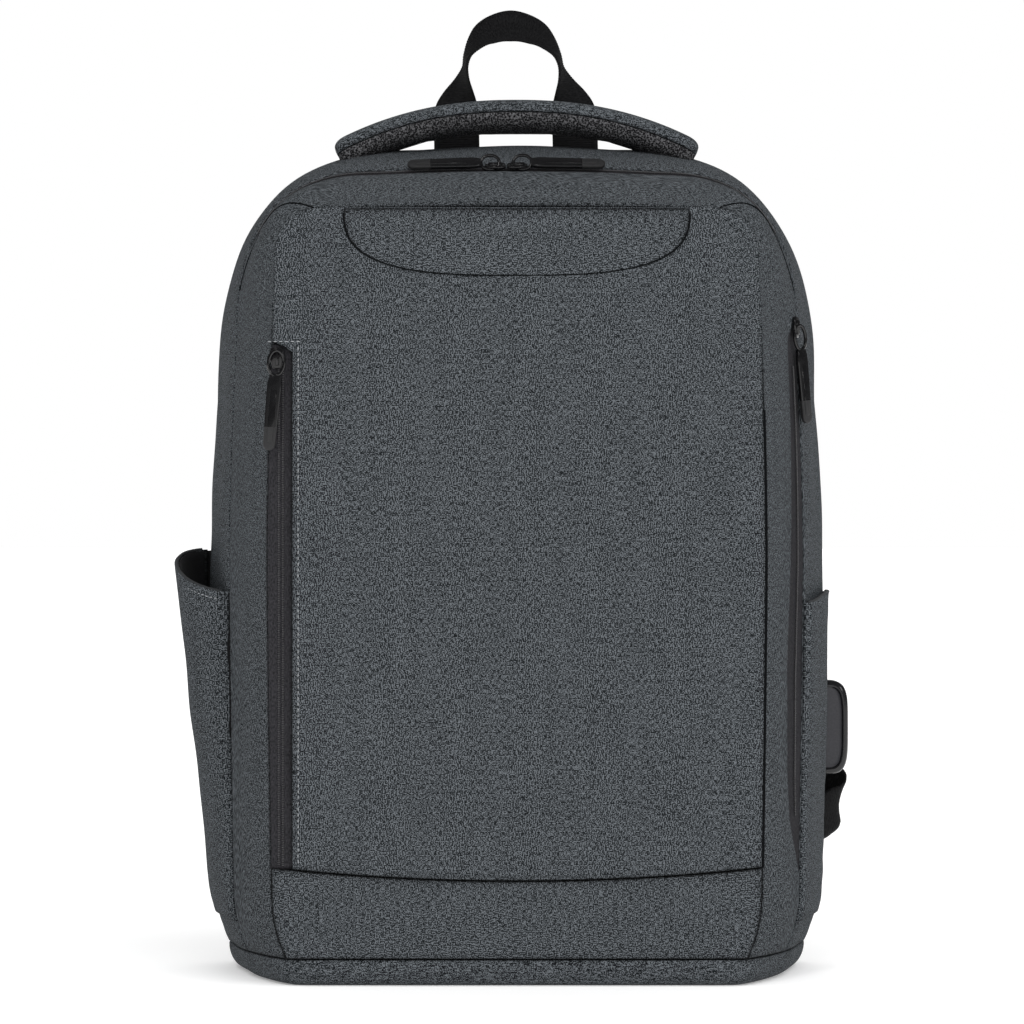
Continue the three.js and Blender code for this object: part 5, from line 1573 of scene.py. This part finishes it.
def blow_up(piece, held, most, stiffness=12.0):
    """Fills a closed cover with padding: held marks the points on seams, most is how far a point may move"""
    seams = piece.vertex_groups.new(name="seams")
    seams.add(np.flatnonzero(held).tolist(), 1.0, "REPLACE")
    cloth = piece.modifiers.new("padding", "CLOTH")
    settings = cloth.settings
    settings.use_pressure = True
    settings.uniform_pressure_force = PAD_PRESSURE
    settings.vertex_group_mass = "seams"
    settings.effector_weights.gravity = 0.0
    settings.tension_stiffness = settings.compression_stiffness = stiffness
    settings.bending_stiffness = 1.5
    settings.quality = 6
    cloth.collision_settings.use_collision = False
    cloth.point_cache.frame_start = 1
    cloth.point_cache.frame_end = PAD_FRAMES
    for step in range(1, PAD_FRAMES + 1):
        bpy.context.scene.frame_set(step)
    filled = piece.evaluated_get(bpy.context.evaluated_depsgraph_get()).data
    count = len(piece.data.vertices)
    before, after = np.empty(count * 3, np.float32), np.empty(count * 3, np.float32)
    piece.data.vertices.foreach_get("co", before)
    filled.vertices.foreach_get("co", after)
    move = (after - before).reshape(-1, 3)
    size = np.maximum(np.linalg.norm(move, axis=-1, keepdims=True), 1e-9)
    move *= np.minimum(size, most) / size
    piece.modifiers.remove(cloth)
    piece.vertex_groups.remove(seams)
    piece.data.vertices.foreach_set("co", before + move.ravel())
    piece.data.update()
    bpy.context.scene.frame_set(1)
    print(piece.name, "filled, points moved", round(float(size.mean()) / MM, 2), "to",
          round(float(size.max()) / MM, 2), "mm")
    smooth = piece.modifiers.new("smooth", "SUBSURF")
    smooth.levels = smooth.render_levels = 1
    return piece


for piece in (handle_top, handle_under):
    ring = len(piece.data.vertices) // HANDLE_ROWS
    place = np.arange(HANDLE_ROWS * ring) % ring
    row = np.arange(HANDLE_ROWS * ring) // ring
    seam = (place < 2) | (place >= HANDLE_PUFF - 2) | (row < 2) | (row > HANDLE_ROWS - 3)
    blow_up(piece, seam, HANDLE_SWELL)

# %% [markdown]
# The back panel is foam under spacer mesh, with an upright channel between two long pads. Its cover is held
# along its rim and along the channel, so the pads swell between them. A dark binding hides the seam to the
# gusset.

# %% Back panel
BACK_TOP = section("high", 1.0) * BODY_HEIGHT
BACK_CORNER_HIGH = section("corner_high", 1.0) * BODY_HEIGHT
CHANNEL_HALF = 5 * MM
BACK_BINDING = 2.0 * MM
STRAP_BINDING = 1.9 * MM


def back_heights(share):
    straight = np.minimum(share / 0.72, 1)
    corner = np.clip((share - 0.72) / 0.28, 0, 1)
    corner_rise = BACK_CORNER_HIGH * np.sin(corner * math.pi / 2)
    return mix(WALL_FOOT, BACK_TOP - BACK_CORNER_HIGH, straight) + corner_rise


def back_panel():
    heights = back_heights(np.linspace(0, 1, 74))[:, None]
    outer = np.linspace(-1, 1, 57)[None, :]
    inner = np.linspace(1, -1, 13)[None, 1:-1]
    half = edge_at(1.0, heights)
    x = outer * half
    y = BACK_Y + GAP + BACK_EDGE + 0.85 * back_padding(x, heights)
    front = np.stack(np.broadcast_arrays(x, y, heights), axis=-1)
    back = np.stack(np.broadcast_arrays(inner * half, BACK_Y + GAP + 0.2 * MM, heights), axis=-1)
    grid = np.concatenate([front, back], axis=1)
    piece = add_object("back_panel_padding", capped_grid("back_panel_padding", grid), spacer_mesh)
    held = np.ones(grid.shape[:2], bool)
    held[2:-2, 2:55] = np.abs(x)[2:-2, 2:55] > CHANNEL_HALF
    held[2:-2, 2:55] = ~held[2:-2, 2:55]
    blow_up(piece, held.ravel(), PAD_SWELL)
    dress(piece, "spacer_mesh", "back_panel")
    side = np.linspace(0, 1, 140)
    rim_z = back_heights(side)
    rim_y = BACK_Y + GAP + BACK_EDGE - 0.6 * MM
    rim = np.stack([edge_at(1.0, rim_z) - 1.0 * MM, rim_y + 0 * rim_z, rim_z], axis=-1)
    top = np.stack([np.linspace(rim[-1, 0], -rim[-1, 0], 40)[1:-1], np.full(38, rim[-1, 1]),
                    np.full(38, rim[-1, 2])], axis=-1)
    path = np.concatenate([rim, top, rim[::-1] * (-1, 1, 1)])
    foot = np.stack([np.linspace(path[-1, 0], path[0, 0], 60)[1:-1], np.full(58, rim[0, 1]),
                     np.full(58, rim[0, 2] + 1.5 * MM)], axis=-1)
    path, _, _ = smooth_route(np.concatenate([path, foot, path[:1]])[::3], 520)
    binding = tube_along("back_panel_binding", path, BACK_BINDING, binding_cloth)
    dress(binding, "zip_tape")


back_panel()

# %% [markdown]
# A shoulder strap is a pad of heather cloth and spacer mesh with a bound edge. Its top is sewn behind the
# bag, and its foot narrows into the ladder lock.

# %% Shoulder straps
STRAP_WIDTH = 62 * MM
STRAP_THICK = 12 * MM
STRAP_SPREAD = 116 * MM
STRAP_TOP = 424 * MM
STRAP_FOOT = 158 * MM
STRAP_STANDOFF = 24 * MM
LOCK_WIDTH = 34 * MM
LOCK_HEIGHT = 26 * MM
LOCK_THICK = 6 * MM
STRAP_ROUTE = np.array((
    # across, behind, up, wide, thick
    (0.38, 0.20, 1.00, 0.90, 0.6),
    (0.40, 0.42, 0.93, 0.97, 0.9),
    (0.50, 0.80, 0.76, 1.00, 1.0),
    (0.66, 1.00, 0.54, 1.00, 1.0),
    (0.84, 0.92, 0.30, 0.92, 1.0),
    (0.94, 0.70, 0.12, 0.80, 0.9),
    (1.01, 0.50, -0.03, 0.62, 0.6),
))


def strap_place(side, count):
    route = np.stack([side * STRAP_ROUTE[:, 0] * STRAP_SPREAD,
                      BACK_Y + BACK_EDGE + STRAP_ROUTE[:, 1] * STRAP_STANDOFF + STRAP_THICK / 2,
                      mix(STRAP_FOOT, STRAP_TOP, STRAP_ROUTE[:, 2])], axis=-1)
    centre, share, lengths = smooth_route(route, count)
    place = share * (len(STRAP_ROUTE) - 1)
    wide, thick = (np.interp(place, np.arange(len(STRAP_ROUTE)), STRAP_ROUTE[:, column]) for column in (3, 4))
    keep = centre[:, 2] >= STRAP_FOOT
    return centre[keep], lengths[keep], wide[keep], thick[keep]


def pad_ring(wide, thick, count=20):
    """A flat pad's section: two crowned faces that meet in a thin edge at either side"""
    flat = np.linspace(1, -1, count)
    lift = np.maximum(1 - np.abs(flat) ** 5, 0) ** 0.5
    edge = 1.2 * MM
    height = edge + (thick[:, None] / 2 - edge) * lift
    top = np.stack(np.broadcast_arrays(wide[:, None] / 2 * flat, height), axis=-1)
    bottom = top[:, ::-1] * (1, -1)
    return np.concatenate([top, bottom], axis=1)


def shoulder_strap(side, label):
    centre, lengths, wide, thick = strap_place(side, 74)
    ring = pad_ring(STRAP_WIDTH * wide, STRAP_THICK * 0.86 * thick)
    across = np.broadcast_to(np.array([1.0, 0.0, 0.0]), centre.shape)
    name = f"strap_{label}_pad"
    piece = carry(name, centre, across, ring, lengths, spacer_mesh)
    piece.data.materials.append(heather_along_x)
    count = len(piece.data.vertices)
    cover = np.array([polygon.normal.y > 0.0 for polygon in piece.data.polygons], np.int32)
    piece.data.polygons.foreach_set("material_index", cover)
    place, row = np.arange(count) % ring.shape[1], np.arange(count) // ring.shape[1]
    half = ring.shape[1] // 2
    seam = (place < 1) | (place >= ring.shape[1] - 1) | (place == half) | (place == half - 1)
    blow_up(piece, seam | (row < 2) | (row >= len(centre) - 2), PAD_SWELL)
    points = np.empty(count * 3, np.float32)
    piece.data.vertices.foreach_get("co", points)
    points = points.reshape(-1, 3)
    behind = BACK_Y + 2 * GAP + BACK_EDGE + back_padding(points[:, 0], points[:, 2]) + 0.4 * MM
    inside = (np.abs(points[:, 0]) < section("wide", 1.0) * HALF_WIDTH) & (points[:, 2] < BACK_TOP)
    points[:, 1] = np.where(inside, np.maximum(points[:, 1], behind), points[:, 1])
    piece.data.vertices.foreach_set("co", points.ravel())
    piece.data.update()
    dress(piece, "spacer_mesh", f"strap_{label}")
    edge_rows = slice(1, len(centre) - 1)
    for way in (-1, 1):
        reach = STRAP_WIDTH * wide[edge_rows, None] / 2 - 0.4 * MM
        line = centre[edge_rows] + way * across[edge_rows] * reach
        limit = BACK_Y + 2 * GAP + BACK_EDGE + back_padding(line[:, 0], line[:, 2]) + 1.8 * MM
        line[:, 1] = np.maximum(line[:, 1], limit)
        name = f"strap_{label}_binding_{'out' if way == side else 'in'}"
        edge = tube_along(name, line, STRAP_BINDING, binding_cloth)
        dress(edge, "zip_tape")


for side, label in SIDES:
    shoulder_strap(side, label)

# %% [markdown]
# The ladder lock is a moulded frame with three bars. The strap's end holds its top bar, and the lower
# webbing runs round the others. It is an outline with two windows, filled, drawn out to its thickness and
# bevelled.

# %% Ladder locks
def framed_plate(shape, outline, windows, thickness, bevel):
    loops = []
    for loop in (outline, *windows):
        corners = [shape.verts.new((x, -thickness / 2, z)) for x, z in loop]
        loops += [shape.edges.new((corners[i], corners[(i + 1) % len(corners)])) for i in range(len(corners))]
    filled = bmesh.ops.triangle_fill(shape, use_beauty=True, edges=loops)
    faces = [item for item in filled["geom"] if isinstance(item, bmesh.types.BMFace)]
    moved = bmesh.ops.extrude_face_region(shape, geom=faces)
    new = [item for item in moved["geom"] if isinstance(item, bmesh.types.BMVert)]
    bmesh.ops.translate(shape, verts=new, vec=(0, thickness, 0))
    bmesh.ops.recalc_face_normals(shape, faces=shape.faces)
    rims = [edge for edge in shape.edges if len(edge.link_faces) == 2 and edge.calc_face_angle() > 1.2
            and abs(edge.verts[0].co.y - edge.verts[1].co.y) < 1e-7]
    bmesh.ops.bevel(shape, geom=rims, offset=bevel, segments=2, profile=0.5, affect="EDGES")


def rounded_box(wide, low, high, radius, taper=1.0, count=5):
    corners = []
    for sx, z, start in ((1, high, 0), (-1, high, 1), (-1, low, 2), (1, low, 3)):
        half = wide * (taper if z == high else 1.0)
        centre_x, centre_z = sx * (half - radius), z - radius if z == high else z + radius
        for angle in np.linspace(start, start + 1, count) * math.pi / 2:
            corners.append((centre_x + radius * math.cos(angle), centre_z + radius * math.sin(angle)))
    return corners


def lock_build(shape):
    wide, high = LOCK_WIDTH / 2, LOCK_HEIGHT / 2
    window = wide - 3.6 * MM
    windows = [rounded_box(window, low, top, 1.2 * MM) for low, top in
               ((3.2 * MM, high - 3.4 * MM), (-5.0 * MM, -0.4 * MM))]
    framed_plate(shape, rounded_box(wide, -high, high, 3 * MM, 0.88), windows, LOCK_THICK, 1.1 * MM)


def ladder_lock(label):
    mesh = mesh_from(f"ladder_lock_{label}_frame", lock_build)
    low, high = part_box(f"ladder_lock_{label}")
    centre = [(a + b) / 2 for a, b in zip(low, high)]
    mesh.transform(Matrix.Translation(centre))
    piece = add_object(f"ladder_lock_{label}_frame", mesh, black_plastic)
    dress(piece, "black_plastic", f"ladder_lock_{label}")
    print(piece.name, "at", [round(v, 3) for v in centre])
    return centre


lock_places = {label: ladder_lock(label) for _, label in SIDES}

# %% [markdown]
# The lower webbing comes out of the ladder lock, bows out past the corner of the bag and comes back to a
# tab on the side, where it is sewn down with a box of stitches.

# %% Lower webbing
ANCHOR_HEIGHT = 84 * MM
ANCHOR_LENGTH = 24 * MM
WEB_BOWS = {"left": 0.25, "right": 0.74}
WEB_ROUTE = np.array((
    # across, behind, up
    (0.00, 1.00, 1.00),
    (0.12, 1.00, 0.72),
    (0.50, 1.00, 0.42),
    (1.50, 0.42, 0.17),
    (1.58, 0.05, 0.05),
    (1.36, -0.30, -0.05),
    (1.14, -0.55, -0.10),
))


def lower_webbing(side, label):
    x, y, z = lock_places[label]
    foot_x = edge_at(1.0, ANCHOR_HEIGHT)
    lock_face = y + LOCK_THICK / 2 + GAP + WEB_THICK / 2
    across = WEB_ROUTE[:, 0]
    across = np.where(across > 1, 1 + (across - 1) * WEB_BOWS[label], across)
    route = np.stack([side * mix(abs(x), foot_x, across), mix(BACK_Y + BACK_EDGE, lock_face, WEB_ROUTE[:, 1]),
                      mix(ANCHOR_HEIGHT, z + GAP, WEB_ROUTE[:, 2])], axis=-1)
    centre, share, lengths = smooth_route(route, 420)
    lean = np.stack([side * mix(0.25, 0.1, share), 0 * share, 1 + 0 * share], axis=-1)
    piece = carry(f"lower_webbing_{label}", centre, lean, web_section(lengths), lengths, webbing)
    dress(piece, "black_webbing", f"strap_webbing_{label}")

    def tab(u, v):
        height = mix(ANCHOR_HEIGHT - 0.7 * WEB_WIDTH, ANCHOR_HEIGHT + 0.7 * WEB_WIDTH, v)
        depth = mix(1 - ANCHOR_LENGTH / BODY_DEPTH, 1 - GAP / BODY_DEPTH, u)
        return np.stack([side * (edge_at(depth, height) + GAP + WEB_THICK), depth_y(depth), height], axis=-1)

    anchor = flat_cloth(f"strap_anchor_{label}_tab", tab, webbing, (side, 0, 0), WEB_THICK, 2 * MM, "v")
    dress(anchor, "black_webbing", f"strap_anchor_{label}")
    corners = np.array(((0.15, 0.12), (0.85, 0.12), (0.85, 0.88), (0.15, 0.88), (0.15, 0.12)))
    box = np.concatenate([np.linspace(a, b, 12, endpoint=False) for a, b in zip(corners[:-1], corners[1:])])
    points = tab(box[:, 0], box[:, 1])
    stitches = beads_along(f"strap_anchor_{label}_stitches", points, np.array([side, 0.0, 0.0]), dark_thread,
                           STITCH_PITCH, *STITCH_SIZE)
    dress(stitches, "black_webbing")


for side, label in SIDES:
    lower_webbing(side, label)
